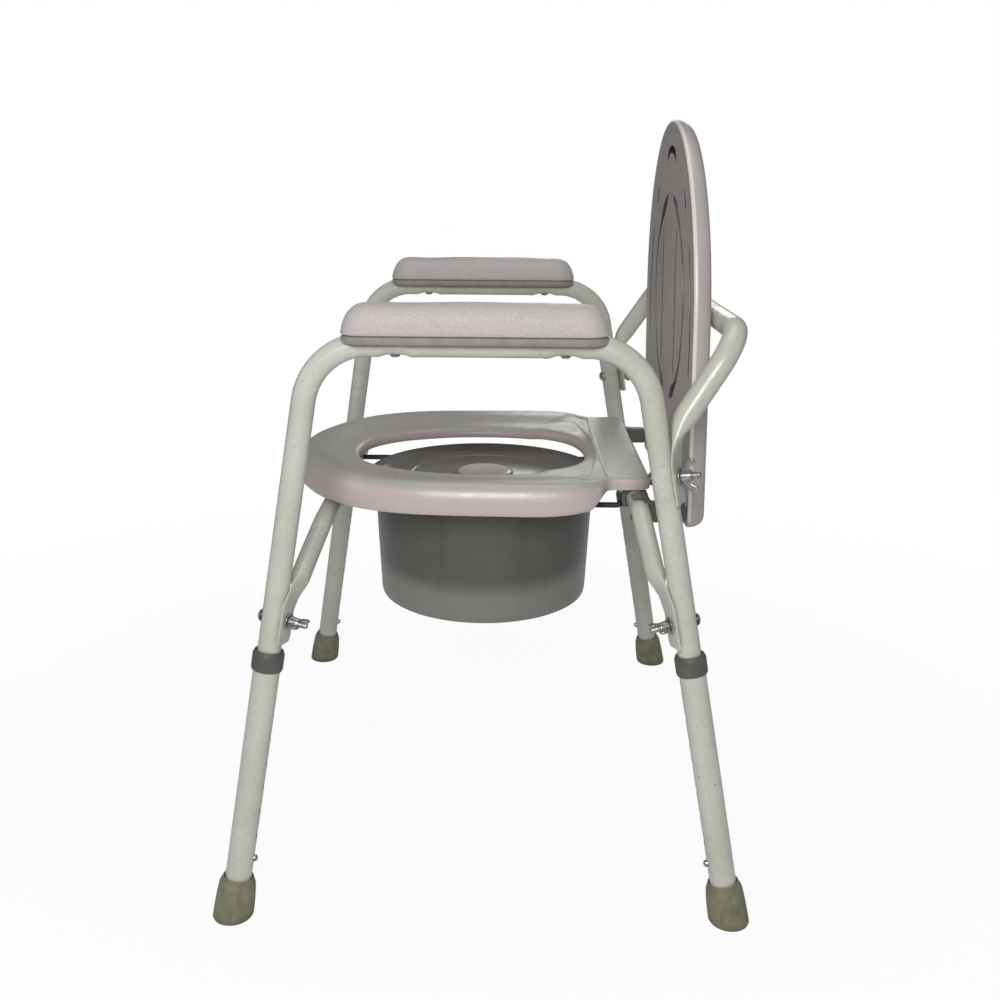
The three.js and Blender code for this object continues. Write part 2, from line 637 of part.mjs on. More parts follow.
// C section round the rear crossbar with its mouth at an angle from +Y towards +Z, plus a lug
function clip(startX, endX, mouth, lug) {
  const steps = 10;
  const halfMouth = 0.95;
  const from = mouth + halfMouth;
  const sweep = mouth + 2 * Math.PI - halfMouth - from;
  const arc = (radius) => Array.from({ length: steps + 1 }, (_, k) => {
    const angle = from + sweep * k / steps;
    return [radius * Math.cos(angle), radius * Math.sin(angle)];
  });
  const ring = [...arc(BAR_TUBE.outer + 4.2), ...arc(BAR_TUBE.outer + 0.6).reverse()];
  return join(...[ring, lug].map((outline) => onBar(outline, REAR_BAR, startX, endX - startX)));
}
pair('seat_clip', clip(133, 140.5, -Math.PI / 2, SEAT_CLIP_TOP), MATERIALS.collar);
pair('seat_rest', onBar(SEAT_REST, FRONT_BAR, 24, 18), MATERIALS.collar);

// ---- lid: a slightly leaning panel with a hand slot, and its hinge lugs ----
const LID_TILT = 0.0259;             // forward lean of the raised lid
const LID_FACE_Y = 201.7;
// heights are from the rear crossbar's axis; the sides are straight up to shoulder
const LID = { thickness: 18, halfWidth: 180, foot: -22, shoulder: 178, top: 375, corner: 16 };
const LID_BEVEL = 4;
// slot outline: [control x, control y, end x, end y]
const SLOT_START = [-33, 335];
const SLOT_CURVES = [
  [-33, 331, -28, 333.5], [0, 343, 28, 333.5], [33, 331, 33, 335], [22, 350, 0, 350],
  [-22, 350, ...SLOT_START],
];
// local Y runs up the lid, local Z faces forward
const lidFrame = new THREE.Matrix4().makeBasis(
  vec(1, 0, 0), vec(0, -LID_TILT, 1).normalize(), vec(0, -1, -LID_TILT).normalize(),
).setPosition(0, LID_FACE_Y, REAR_BAR.z);

function lidOutline() {
  const { halfWidth, foot, shoulder, top, corner } = LID;
  const shape = new THREE.Shape();
  shape.moveTo(-halfWidth + corner, foot);
  shape.lineTo(halfWidth - corner, foot);
  shape.quadraticCurveTo(halfWidth, foot, halfWidth, foot + corner);
  shape.lineTo(halfWidth, shoulder);
  shape.absellipse(0, shoulder, halfWidth, top - shoulder, 0, Math.PI, false);
  shape.lineTo(-halfWidth, foot + corner);
  shape.quadraticCurveTo(-halfWidth, foot, -halfWidth + corner, foot);
  return shape;
}

// a panel with a tight front edge and a broad round back edge
function lidPanel() {
  const { thickness, halfWidth, shoulder } = LID;
  const panel = extrude(lidOutline(), thickness - 2 * LID_BEVEL,
    { curveSegments: 14, ...bevel(LID_BEVEL, 1) }).translate(0, 0, LID_BEVEL - thickness);
  // layers by depth: how far the outline grows, and the depth they move to
  const layers = [
    { depth: 0, grow: 2, moved: 0 },
    { depth: -LID_BEVEL, grow: 0, moved: -2.5 },
    { depth: LID_BEVEL - thickness, grow: 0, moved: -8 },
    { depth: -thickness, grow: -6, moved: -thickness },
  ];
  const position = panel.attributes.position;
  for (let i = 0; i < position.count; i++) {
    const z = position.getZ(i);
    const { grow, moved } = layers.find(({ depth }) => Math.abs(z - depth) < 0.01);
    position.setXYZ(i,
      position.getX(i) * (1 + grow / (halfWidth - LID_BEVEL)),
      shoulder + (position.getY(i) - shoulder) * (1 + grow / 190),
      moved);
  }
  return panel;
}

function lid() {
  const slot = new THREE.Shape();
  slot.moveTo(...SLOT_START);
  for (const curve of SLOT_CURVES) slot.quadraticCurveTo(...curve);
  const cutter = extrude(slot, 60, { curveSegments: 5 }).translate(0, 0, -40);
  return cut(lidPanel().applyMatrix4(lidFrame), cutter.applyMatrix4(lidFrame));
}
add('lid', lid(), MATERIALS.lid);
pair('lid_hinge', clip(163.5, 177, Math.PI, HINGE_LUG), MATERIALS.collar);

// ---- pail and its lid ----
const FOOT = { radius: 118.8, z: 231 };
const RIM = { radius: 135, z: 366, thickness: 2.6 };
const PAIL_TOP_R = 124.6;            // pail's wall just under the rim
const PAIL_FLOOR_T = 2.5;
const RIM_TOP = RIM.z + RIM.thickness;
const WING = { radius: 144.5, halfAngle: 0.56, lipT: 3, lipZ: 357 };  // rim's side wings
const PAIL_AXIS = vec(0, PAIL_Y, 0);

// a piece of a ring on one side, centred on the X axis
function wingPiece(side, innerR, bottom, top) {
  const middle = side > 0 ? 0 : Math.PI;
  const [from, to] = [middle - WING.halfAngle, middle + WING.halfAngle];
  const shape = new THREE.Shape();
  shape.absarc(0, 0, WING.radius, from, to, false);
  shape.absarc(0, 0, innerR, to, from, true);
  shape.closePath();
  return extrude(shape, top - bottom, { curveSegments: 10 }).translate(0, PAIL_Y, bottom);
}

function pail() {
  const body = turned([
    [0, FOOT.z], [FOOT.radius - 5, FOOT.z], [FOOT.radius - 1, FOOT.z + 3],
    [FOOT.radius, FOOT.z + 9], [PAIL_TOP_R, RIM.z], [RIM.radius, RIM.z], [RIM.radius, RIM_TOP],
    [PAIL_TOP_R - 2.5, RIM_TOP], [FOOT.radius - 2.5, FOOT.z + 10],
    [FOOT.radius - 4.2, FOOT.z + 5], [FOOT.radius - 9, FOOT.z + PAIL_FLOOR_T],
    [0, FOOT.z + PAIL_FLOOR_T],
  ], PAIL_AXIS, UP, 28);
  const wings = [1, -1].flatMap((side) => [
    wingPiece(side, 130, RIM.z, RIM_TOP),
    wingPiece(side, WING.radius - WING.lipT, WING.lipZ, RIM.z + 1),
  ]);
  return join(body, ...wings);
}
add('pail', pail(), MATERIALS.pail);

// [radius, height above the lid's seat on the rim]
const PAIL_LID_PROFILE = [
  [0, -1.5], [118.6, -1.5], [118.6, 0.01], [133, 0.01], [134, 3], [126, 5.4], [118, 4.2],
  [108, 1.2], [32, 1.6], [30, 5.2], [0, 4.6],
];
const pailLidProfile = PAIL_LID_PROFILE.map(([radius, height]) =>
  [radius, RIM_TOP + GAP + height]);
add('pail_lid', turned(pailLidProfile, PAIL_AXIS, UP, 28), MATERIALS.pail);

export default chair;
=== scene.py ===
"""Looks of the height-adjustable commode chair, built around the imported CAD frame.
Shapes are worked out in millimetres in the row frame and written in metres. -Y is the chair's front, +X the sitter's left."""
import json
import math

import bmesh
import bpy
import numpy as np
from mathutils import Matrix, Vector

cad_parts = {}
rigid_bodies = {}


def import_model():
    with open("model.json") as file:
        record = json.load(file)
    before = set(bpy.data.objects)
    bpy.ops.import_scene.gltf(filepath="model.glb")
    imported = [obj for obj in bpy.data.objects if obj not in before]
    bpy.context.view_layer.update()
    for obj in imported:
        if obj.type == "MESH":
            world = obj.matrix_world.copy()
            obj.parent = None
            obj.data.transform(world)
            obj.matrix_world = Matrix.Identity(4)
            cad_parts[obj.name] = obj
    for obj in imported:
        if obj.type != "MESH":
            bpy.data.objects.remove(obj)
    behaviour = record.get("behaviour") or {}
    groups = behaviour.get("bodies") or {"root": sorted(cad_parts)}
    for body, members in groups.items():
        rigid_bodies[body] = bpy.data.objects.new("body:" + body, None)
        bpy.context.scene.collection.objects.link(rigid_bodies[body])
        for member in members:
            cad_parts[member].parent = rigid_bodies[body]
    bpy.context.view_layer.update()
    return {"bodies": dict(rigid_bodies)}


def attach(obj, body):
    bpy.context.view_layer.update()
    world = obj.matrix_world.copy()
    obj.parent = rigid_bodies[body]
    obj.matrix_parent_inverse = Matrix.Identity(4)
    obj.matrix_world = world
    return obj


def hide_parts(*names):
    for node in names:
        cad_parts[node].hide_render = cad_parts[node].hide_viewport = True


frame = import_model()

MM = 0.001
SCENE = bpy.context.scene

# ---- driving dimensions, the same as the CAD's, in millimetres ----
GAP = 0.3
LEG_X0, LEG_DX = 304.3, -0.0907
FRONT_Y0, FRONT_DY = -243.7, 0.1598
REAR_Y0, REAR_DY = 243.7, -0.1836
ARM_Z, CORNER_R = 556.0, 60.0
TUBE_R, TUBE_IN = 11.1, 9.9
LEG_R, LEG_IN = 12.7, 11.5
UPPER_END_Z = 45.0
LEG_FOOT_Z, LEG_TOP_Z = 7.0, 262.0
COLLAR_Z0, COLLAR_Z1, COLLAR_R = 252.8, 272.0, 15.0
TIP_TOP_Z, TIP_TOP_R, TIP_FOOT_R = 42.0, 15.0, 20.5
BUTTON_Z, HOLE_PITCH, HOLES = 62.0, 25.4, 7
BUTTON_R, BUTTON_HOLE_R = 3.4, 4.1
BAR_R, BAR_IN, FLAT_T = 9.5, 8.2, 1.4
BAR_TURN, BACK_TURN = 0.28, 0.42
FRONT_BAR_Y, FRONT_BAR_Z = -163.0, 363.0
REAR_BAR_Y, REAR_BAR_Z = 154.0, 382.0
BOLT_Z, BACK_BOLT_Z = 303.0, 438.5
BOLT_R, BOLT_HOLE_R = 3.0, 3.8
BACK_BAR_Y, BACK_BAR_Z = 227.5, 568.0
RAIL_X, RAIL_END_X, RAIL_Z, RAIL_R = 129.5, 98.0, 362.5, 3.0
PAD_Y0, PAD_Y1, PAD_W, PAD_Z0, PAD_Z1 = -128.0, 110.0, 50.0, 558.0, 594.0
PAD_SCREW_Y = (-80.0, 72.0)
SEAT_TOP, SEAT_SKIRT, SEAT_C = 406.5, 374.8, -16.0
PAIL_WING_R, PAIL_WING_HALF, PAIL_LIP_Z = 144.5, 0.56, 357.0
PAIL_Y, PAIL_TOP_R, PAIL_FOOT_R, PAIL_FOOT_Z, PAIL_RIM_Z = -3.0, 124.6, 118.8, 231.0, 366.0
LID_TILT, LID_FACE_Y, LID_T, LID_HALF, LID_TOP_H, LID_FOOT_H = 0.0259, 201.7, 18.0, 180.0, 375.0, -22.0


# ---- vectors ----
def V(*a):
    return np.array(a, float)


def unit(v):
    v = np.asarray(v, float)
    return v / np.linalg.norm(v)


def smooth(x):
    t = np.clip(x, 0, 1)
    return t * t * (3 - 2 * t)


def leg_x(z):
    return LEG_X0 + LEG_DX * z


def leg_y(front, z):
    return FRONT_Y0 + FRONT_DY * z if front else REAR_Y0 + REAR_DY * z


def leg_point(front, z):
    return V(leg_x(z), leg_y(front, z), z)


def leg_axis(front):
    return unit(V(LEG_DX, FRONT_DY if front else REAR_DY, 1))


def leg_inward(front):
    a, d = leg_axis(front), V(0, 1 if front else -1, 0)
    return unit(d - a * (d @ a))


def bolt_direction(front, way, turn):
    """From a bolt's head to its nut, on the +X side."""
    d = leg_inward(front)
    o = np.cross(d, leg_axis(front))
    return unit(d * way * math.cos(turn) + (o if o[0] > 0 else -o) * math.sin(turn))


FRONT_BOLT, REAR_BOLT, BACK_BOLT = bolt_direction(True, 1, BAR_TURN), bolt_direction(False, 1, BAR_TURN), bolt_direction(False, -1, BACK_TURN)
PLANE = unit(V(1, 0, -LEG_DX))


# ---- paths ----
def rounded(points, step=5.0):
    """Path through points [x, y, z, bend radius] with round corners, one station every step degrees of bend."""
    p = [np.array(q[:3], float) for q in points]
    out = [p[0]]
    for i in range(1, len(p) - 1):
        r = points[i][3] if len(points[i]) > 3 else 0
        if not r:
            out.append(p[i])
            continue
        u, w = unit(p[i - 1] - p[i]), unit(p[i + 1] - p[i])
        half = math.acos(max(-1, min(1, u @ w))) / 2
        t = r / math.tan(half)
        c = p[i] + unit(u + w) * (r / math.sin(half))
        s, e = p[i] + u * t - c, p[i] + w * t - c
        full = math.acos(max(-1, min(1, (s @ e) / (r * r))))
        n = max(2, int(math.degrees(full) / step))
        for k in range(n + 1):
            f = k / n
            out.append(c + s * (math.sin((1 - f) * full) / math.sin(full)) + e * (math.sin(f * full) / math.sin(full)))
    out.append(p[-1])
    return out


def refine(path, step):
    """Adds stations, so that none is further apart than step(point) allows."""
    out = [path[0]]
    for a, b in zip(path, path[1:]):
        n = max(1, int(math.ceil(np.linalg.norm(b - a) / step((a + b) / 2))))
        out += [a + (b - a) * k / n for k in range(1, n + 1)]
    return out


def spline(pts, per=8, closed=False):
    """Centripetal-like Catmull-Rom curve through the points."""
    p = [np.array(q, float) for q in pts]
    n = len(p)
    out = []
    for i in range(n if closed else n - 1):
        a, b, c, d = (p[(i + k) % n] if closed else p[min(max(i + k, 0), n - 1)] for k in (-1, 0, 1, 2))
        for k in range(per):
            t = k / per
            out.append(0.5 * (2 * b + (c - a) * t + (2 * a - 5 * b + 4 * c - d) * t * t + (3 * b - a - 3 * c + d) * t ** 3))
    if not closed:
        out.append(p[-1])
    return out


def fillet(points, steps=4, closed=True):
    """2-D outline [[x, y, radius], ...] with its corners rounded."""
    n, out = len(points), []
    for i in range(n):
        q = points[i]
        r = q[2] if len(q) > 2 else 0
        c = np.array(q[:2], float)
        if not r or (not closed and i in (0, n - 1)):
            out.append(c)
            continue
        a, b = np.array(points[i - 1][:2], float), np.array(points[(i + 1) % n][:2], float)
        u, w = a - c, b - c
        lu, lw = np.linalg.norm(u), np.linalg.norm(w)
        u, w = u / lu, w / lw
        half = math.acos(max(-1, min(1, u @ w))) / 2
        if half < 0.02 or half > math.pi / 2 - 0.02:
            out.append(c)
            continue
        t = min(r / math.tan(half), lu * 0.49, lw * 0.49)
        s, e = c + u * t, c + w * t
        for k in range(steps + 1):
            f = k / steps
            out.append(s * (1 - f) ** 2 + c * 2 * f * (1 - f) + e * f * f)
    return out


# ---- meshes: (vertices in mm, faces) ----
def skin(rings, loop=False, caps=True):
    """Quads between rings of equal size; loop joins the last ring to the first, caps closes the two ends."""
    n, m = len(rings[0]), len(rings)
    verts = np.vstack(rings)
    faces = []
    for i in range(m if loop else m - 1):
        a, b = i * n, ((i + 1) % m) * n
        faces += [(a + k, a + (k + 1) % n, b + (k + 1) % n, b + k) for k in range(n)]
    if caps and not loop:
        faces.append(tuple(range(n))[::-1])
        faces.append(tuple((m - 1) * n + k for k in range(n)))
    return verts, faces


def stack(*meshes):
    verts, faces, base = [], [], 0
    for v, f in meshes:
        verts.append(np.asarray(v, float))
        faces += [tuple(i + base for i in q) for q in f]
        base += len(v)
    return np.vstack(verts), faces


def basis(axis, hint=None):
    a = unit(axis)
    h = V(1, 0, 0) if hint is None else hint
    if abs(a @ h) > 0.98 * np.linalg.norm(h):
        h = V(0, 1, 0)
    x = unit(h - a * (h @ a))
    return x, np.cross(a, x), a


def turned(profile, base, axis, n=48, loop=False):
    """Profile [[radius, height], ...] turned about the line from base along axis."""
    x, y, a = basis(axis)
    t = np.arange(n) * 2 * math.pi / n
    ring = np.outer(np.cos(t), x) + np.outer(np.sin(t), y)
    return skin([np.asarray(base, float) + a * h + ring * max(r, 0.0) for r, h in profile], loop=loop, caps=False)


def rod(a, b, r, n=24):
    a, b = np.asarray(a, float), np.asarray(b, float)
    x, y, _ = basis(b - a)
    t = np.arange(n) * 2 * math.pi / n
    ring = (np.outer(np.cos(t), x) + np.outer(np.sin(t), y)) * r
    return skin([a + ring, b + ring])


def round_section(r_out, r_in):
    def f(p, a, inner, end):
        r = r_in if inner else r_out
        return r * np.cos(a), r * np.sin(a)
    return f


def pressed_section(r_out, r_in, flat):
    """Round tube pressed flat across its second direction; the pressed end's inboard corner is rounded off."""
    def f(p, a, inner, end):
        t, r = flat(p), (r_in if inner else r_out)
        wide = r + t * r_out * 0.32
        thin = r + t * ((0.45 if inner else FLAT_T) - r)
        c, s, k = np.cos(a), np.sin(a), 1 - 0.35 * t
        u = wide * np.sign(c) * np.abs(c) ** k
        v = thin * np.sign(s) * np.abs(s) ** k
        for way, rc in ((1, 6.0), (-1, 2.0)):
            if end < rc and t > 0.5:
                lim = wide - rc + math.sqrt(max(0.0, rc * rc - (rc - end) ** 2))
                u = np.where(way * u > lim, way * lim, u)
        return u, v
    return f


def hollow(path, side, section, n=40, lip=0.35):
    """Hollow bar along a path, with its end edges eased."""
    length = [0.0]
    for a, b in zip(path, path[1:]):
        length.append(length[-1] + np.linalg.norm(b - a))
    total = length[-1]
    pts, dist = list(path), list(length)
    for d in (lip, lip * 3, total - lip, total - lip * 3):
        i = int(np.searchsorted(dist, d))
        f = (d - dist[i - 1]) / (dist[i] - dist[i - 1])
        pts.insert(i, pts[i - 1] + (pts[i] - pts[i - 1]) * f)
        dist.insert(i, d)
    ang = np.arange(n) * 2 * math.pi / n
    side_at = side if callable(side) else (lambda p, s=np.asarray(side, float): s)

    def ring(i, inner, shrink=0.0):
        p = pts[i]
        side = side_at(p)
        t = np.zeros(3)
        if i > 0:
            t += unit(p - pts[i - 1])
        if i < len(pts) - 1:
            t += unit(pts[i + 1] - p)
        t = unit(t)
        b = unit(side - t * (side @ t))
        nn = np.cross(t, b)
        u, v = section(p, ang, inner, min(dist[i], total - dist[i]))
        if shrink:
            m = np.maximum(np.hypot(u, v), 1e-6)
            u, v = u * (1 - shrink / m), v * (1 - shrink / m)
        return p + np.outer(u, nn) + np.outer(v, b)

    m = len(pts)
    rings = [ring(0, False, lip)] + [ring(i, False) for i in range(1, m - 1)] + [ring(m - 1, False, lip)]
    rings += [ring(m - 1, True)] + [ring(i, True) for i in range(m - 2, 0, -1)] + [ring(0, True)]
    return skin(rings, loop=True)


def slab(outline, x0, x1, place, bevel=0.6, steps=3):
    """Flat outline (first, second) made thick from x0 to x1 with eased edges; place(first, second, depth) gives the point."""
    o = np.array([p[:2] for p in outline], float)
    area = 0.5 * np.sum(o[:, 0] * np.roll(o[:, 1], -1) - np.roll(o[:, 0], -1) * o[:, 1])
    if area < 0:
        o = o[::-1]
    d = np.roll(o, -1, 0) - o
    d = d / np.maximum(np.linalg.norm(d, axis=1, keepdims=True), 1e-9)
    nin = np.stack([-d[:, 1], d[:, 0]], 1)
    m = nin + np.roll(nin, 1, 0)
    m = m / np.maximum(np.sum(m * nin, axis=1, keepdims=True), 0.35)
    rings = []
    for way in (0, 1):
        for k in range(steps + 1):
            a = math.pi / 2 * (k if way == 0 else steps - k) / steps
            inset = bevel * (1 - math.sin(a))
            depth = x0 + bevel * (1 - math.cos(a)) if way == 0 else x1 - bevel * (1 - math.cos(a))
            q = o + m * inset
            rings.append(place(q[:, 0], q[:, 1], np.full(len(q), depth)))
    return skin(rings)


# ---- objects ----
def outward(bm):
    bmesh.ops.recalc_face_normals(bm, faces=bm.faces)
    if bm.calc_volume(signed=True) < 0:
        bmesh.ops.reverse_faces(bm, faces=bm.faces)


def to_object(name, mesh, weld=0.004):
    me = bpy.data.meshes.new(name)
    v, f = mesh
    me.from_pydata((np.asarray(v, float) * MM).tolist(), [], [list(q) for q in f])
    bm = bmesh.new()
    bm.from_mesh(me)
    bmesh.ops.remove_doubles(bm, verts=bm.verts, dist=weld * MM)
    bmesh.ops.dissolve_degenerate(bm, edges=bm.edges, dist=1e-7)
    outward(bm)
    bm.to_mesh(me)
    bm.free()
    o = bpy.data.objects.new(name, me)
    SCENE.collection.objects.link(o)
    return o


def settle(o):
    """Applies every modifier of an object."""
    dg = bpy.context.evaluated_depsgraph_get()
    dg.update()
    me = bpy.data.meshes.new_from_object(o.evaluated_get(dg), preserve_all_data_layers=True, depsgraph=dg)
    old = o.data
    o.modifiers.clear()
    o.data = me
    bpy.data.meshes.remove(old)


def boolean(o, tools, operation="DIFFERENCE"):
    for tool in tools:
        t = to_object("tool", tool)
        m = o.modifiers.new("cut", "BOOLEAN")
        m.operation, m.solver, m.object = operation, "EXACT", t
        settle(o)
        bpy.data.objects.remove(t)
    return o


def triangulated(o):
    bm = bmesh.new()
    bm.from_mesh(o.data)
    bmesh.ops.triangulate(bm, faces=[f for f in bm.faces if len(f.verts) > 4])
    bm.to_mesh(o.data)
    bm.free()
    return o


def carve(o, tools, operation="DIFFERENCE"):
    """Cuts and joins for flat faces, where the many-sided caps are split into triangles first."""
    for tool in tools:
        t = triangulated(to_object("tool", tool))
        triangulated(o)
        m = o.modifiers.new("cut", "BOOLEAN")
        m.operation, m.solver, m.object = operation, "MANIFOLD", t
        settle(o)
        bpy.data.objects.remove(t)
    return o


def mirrored(o, name):
    me = o.data.copy()
    me.transform(Matrix.Diagonal((-1, 1, 1, 1)))
    me.flip_normals()
    me.name = name
    m = bpy.data.objects.new(name, me)
    SCENE.collection.objects.link(m)
    return m


def tidy(o, angle=38, flat=False):
    bm = bmesh.new()
    bm.from_mesh(o.data)
    bmesh.ops.remove_doubles(bm, verts=bm.verts, dist=0.0006 * MM)
    outward(bm)
    bm.to_mesh(o.data)
    bm.free()
    o.data.shade_smooth()
    o.data.set_sharp_from_angle(angle=math.radians(angle))
    if flat:
        m = o.modifiers.new("normals", "WEIGHTED_NORMAL")
        m.keep_sharp, m.weight, m.mode = True, 50, "FACE_AREA"


def dress(o, body, nodes, material):
    o.data.materials.clear()
    o.data.materials.append(material)
    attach(o, body)
    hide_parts(*nodes)
    return o


# ---- materials ----
def lin(r, g, b):
    f = lambda c: c / 12.92 if c <= 0.04045 else ((c + 0.055) / 1.055) ** 2.4
    return tuple(f(c / 255) for c in (r, g, b)) + (1.0,)


class Mat:
    """A procedural material: small helpers to wire its nodes."""

    def __init__(self, name):
        self.m = bpy.data.materials.new(name)
        self.m.use_nodes = True
        self.t = self.m.node_tree
        self.t.nodes.clear()
        self.out = self.t.nodes.new("ShaderNodeOutputMaterial")
        self.b = self.t.nodes.new("ShaderNodeBsdfPrincipled")
        self.t.links.new(self.b.outputs[0], self.out.inputs[0])
        self.co = self.t.nodes.new("ShaderNodeTexCoord").outputs["Object"]
        self.normal = None

    def put(self, socket, value):
        if hasattr(value, "is_output"):
            self.t.links.new(value, socket)
        else:
            socket.default_value = value

    def stretch(self, x, y, z, turn=(0, 0, 0)):
        n = self.t.nodes.new("ShaderNodeMapping")
        n.inputs["Scale"].default_value = (x, y, z)
        n.inputs["Rotation"].default_value = turn
        self.t.links.new(self.co, n.inputs["Vector"])
        return n.outputs[0]

    def noise(self, size, detail=2.0, rough=0.5, co=None, warp=0.0):
        n = self.t.nodes.new("ShaderNodeTexNoise")
        n.inputs["Scale"].default_value = 1 / (size * MM)
        n.inputs["Detail"].default_value = detail
        n.inputs["Roughness"].default_value = rough
        n.inputs["Distortion"].default_value = warp
        self.t.links.new(co or self.co, n.inputs["Vector"])
        return n.outputs[0]

    def cells(self, size, feature="F1", co=None, out="Distance", random=1.0):
        n = self.t.nodes.new("ShaderNodeTexVoronoi")
        n.feature = feature
        n.inputs["Scale"].default_value = 1 / (size * MM)
        n.inputs["Randomness"].default_value = random
        self.t.links.new(co or self.co, n.inputs["Vector"])
        return n.outputs[out]

    def span(self, value, a, b, c=0.0, d=1.0):
        n = self.t.nodes.new("ShaderNodeMapRange")
        n.interpolation_type = "SMOOTHSTEP"
        for k, x in zip(("From Min", "From Max", "To Min", "To Max"), (a, b, c, d)):
            n.inputs[k].default_value = x
        self.put(n.inputs["Value"], value)
        return n.outputs[0]

    def math(self, op, a, b=0.0):
        n = self.t.nodes.new("ShaderNodeMath")
        n.operation = op
        self.put(n.inputs[0], a)
        self.put(n.inputs[1], b)
        return n.outputs[0]

    def mix(self, f, a, b, kind="MIX"):
        n = self.t.nodes.new("ShaderNodeMix")
        n.data_type, n.blend_type = "RGBA", kind
        self.put(n.inputs[0], f)
        self.put(n.inputs[6], a)
        self.put(n.inputs[7], b)
        return n.outputs[2]

    def bump(self, height, strength, depth):
        n = self.t.nodes.new("ShaderNodeBump")
        n.inputs["Strength"].default_value = strength
        n.inputs["Distance"].default_value = depth * MM
        self.put(n.inputs["Height"], height)
        if self.normal is not None:
            self.t.links.new(self.normal, n.inputs["Normal"])
        self.normal = n.outputs[0]

    def axis(self, k):
        n = self.t.nodes.new("ShaderNodeSeparateXYZ")
        self.t.links.new(self.co, n.inputs[0])
        return n.outputs[k]

    def edge(self, lo=0.54, hi=0.62):
        g = self.t.nodes.new("ShaderNodeNewGeometry").outputs["Pointiness"]
        return self.span(g, lo, hi)

    def done(self, color, rough, metal=0.0, **more):
        self.put(self.b.inputs["Base Color"], color)
        self.put(self.b.inputs["Roughness"], rough)
        self.put(self.b.inputs["Metallic"], metal)
        for k, v in more.items():
            self.put(self.b.inputs[k.replace("_", " ")], v)
        if self.normal is not None:
            self.t.links.new(self.normal, self.b.inputs["Normal"])
        return self.m


def paint_material():
    m = Mat("frame_paint")
    cloud = m.noise(60, 3)
    speck = m.noise(5, 4, 0.6)
    base = m.mix(m.span(cloud, 0.35, 0.65), lin(*FRAME_A), lin(*FRAME_B))
    base = m.mix(m.math("MULTIPLY", m.span(speck, 0.5, 0.75), 0.25), base, lin(*FRAME_C))
    # small chips down to the dark primer, in a few patches
    chip = m.span(m.cells(9, random=1.0), 0.13, 0.085)
    patch = m.span(m.noise(34, 2), 0.6, 0.64)
    ragged = m.span(m.noise(1.3, 3), 0.42, 0.52)
    chips = m.math("MULTIPLY", m.math("MULTIPLY", chip, patch), ragged)
    base = m.mix(chips, base, lin(88, 78, 68))
    # rubbed paint on the tight edges
    rub = m.math("MULTIPLY", m.edge(0.56, 0.66), m.span(m.noise(3, 4), 0.4, 0.62))
    base = m.mix(m.math("MULTIPLY", rub, 0.35), base, lin(232, 232, 226))
    rough = m.span(m.noise(14, 3), 0.2, 0.8, 0.24, 0.38)
    rough = m.math("ADD", rough, m.math("MULTIPLY", chips, 0.4))
    m.bump(m.noise(1.6, 2), 0.18, 0.12)
    m.bump(m.math("SUBTRACT", 1.0, chips), 0.5, 0.12)
    return m.done(base, rough, 0.0, Coat_Weight=0.15, Coat_Roughness=0.12)


def pad_material():
    m = Mat("arm_pad")
    z = m.axis(2)
    warp = m.noise(2.2, 2)
    grain = m.cells(1.9, "DISTANCE_TO_EDGE")
    grain = m.span(grain, 0.0, 0.2)
    fine = m.noise(0.45, 3, 0.7)
    cloud = m.noise(70, 3)
    base = m.mix(m.span(cloud, 0.35, 0.65), lin(*PAD_A), lin(*PAD_B))
    base = m.mix(m.math("MULTIPLY", m.span(fine, 0.55, 0.8), 0.3), base, lin(*PAD_C))
    base = m.mix(m.math("MULTIPLY", m.math("SUBTRACT", 1.0, grain), 0.36), base, lin(*PAD_D))
    # the moulded lower shell below the seam is painted darker, as shade where the pad's side curves under, with dirt
    # along the seam
    shell = m.span(z, 0.5660, 0.5654)
    base = m.mix(shell, base, m.mix(m.span(m.noise(12, 3), 0.3, 0.7), lin(*SHADED_BAND_A), lin(*SHADED_BAND_B)))
    seam = m.math("MULTIPLY", m.span(z, 0.5649, 0.5655), m.span(z, 0.5665, 0.5660))
    base = m.mix(m.math("MULTIPLY", seam, 0.7), base, lin(84, 80, 76))
    rough = m.span(warp, 0.3, 0.7, 0.42, 0.58)
    m.bump(m.math("MULTIPLY", grain, m.math("SUBTRACT", 1.0, m.math("MULTIPLY", shell, 0.85))), 0.6, 0.35)
    m.bump(fine, 0.25, 0.12)
    return m.done(base, rough, 0.0, Sheen_Weight=0.1)


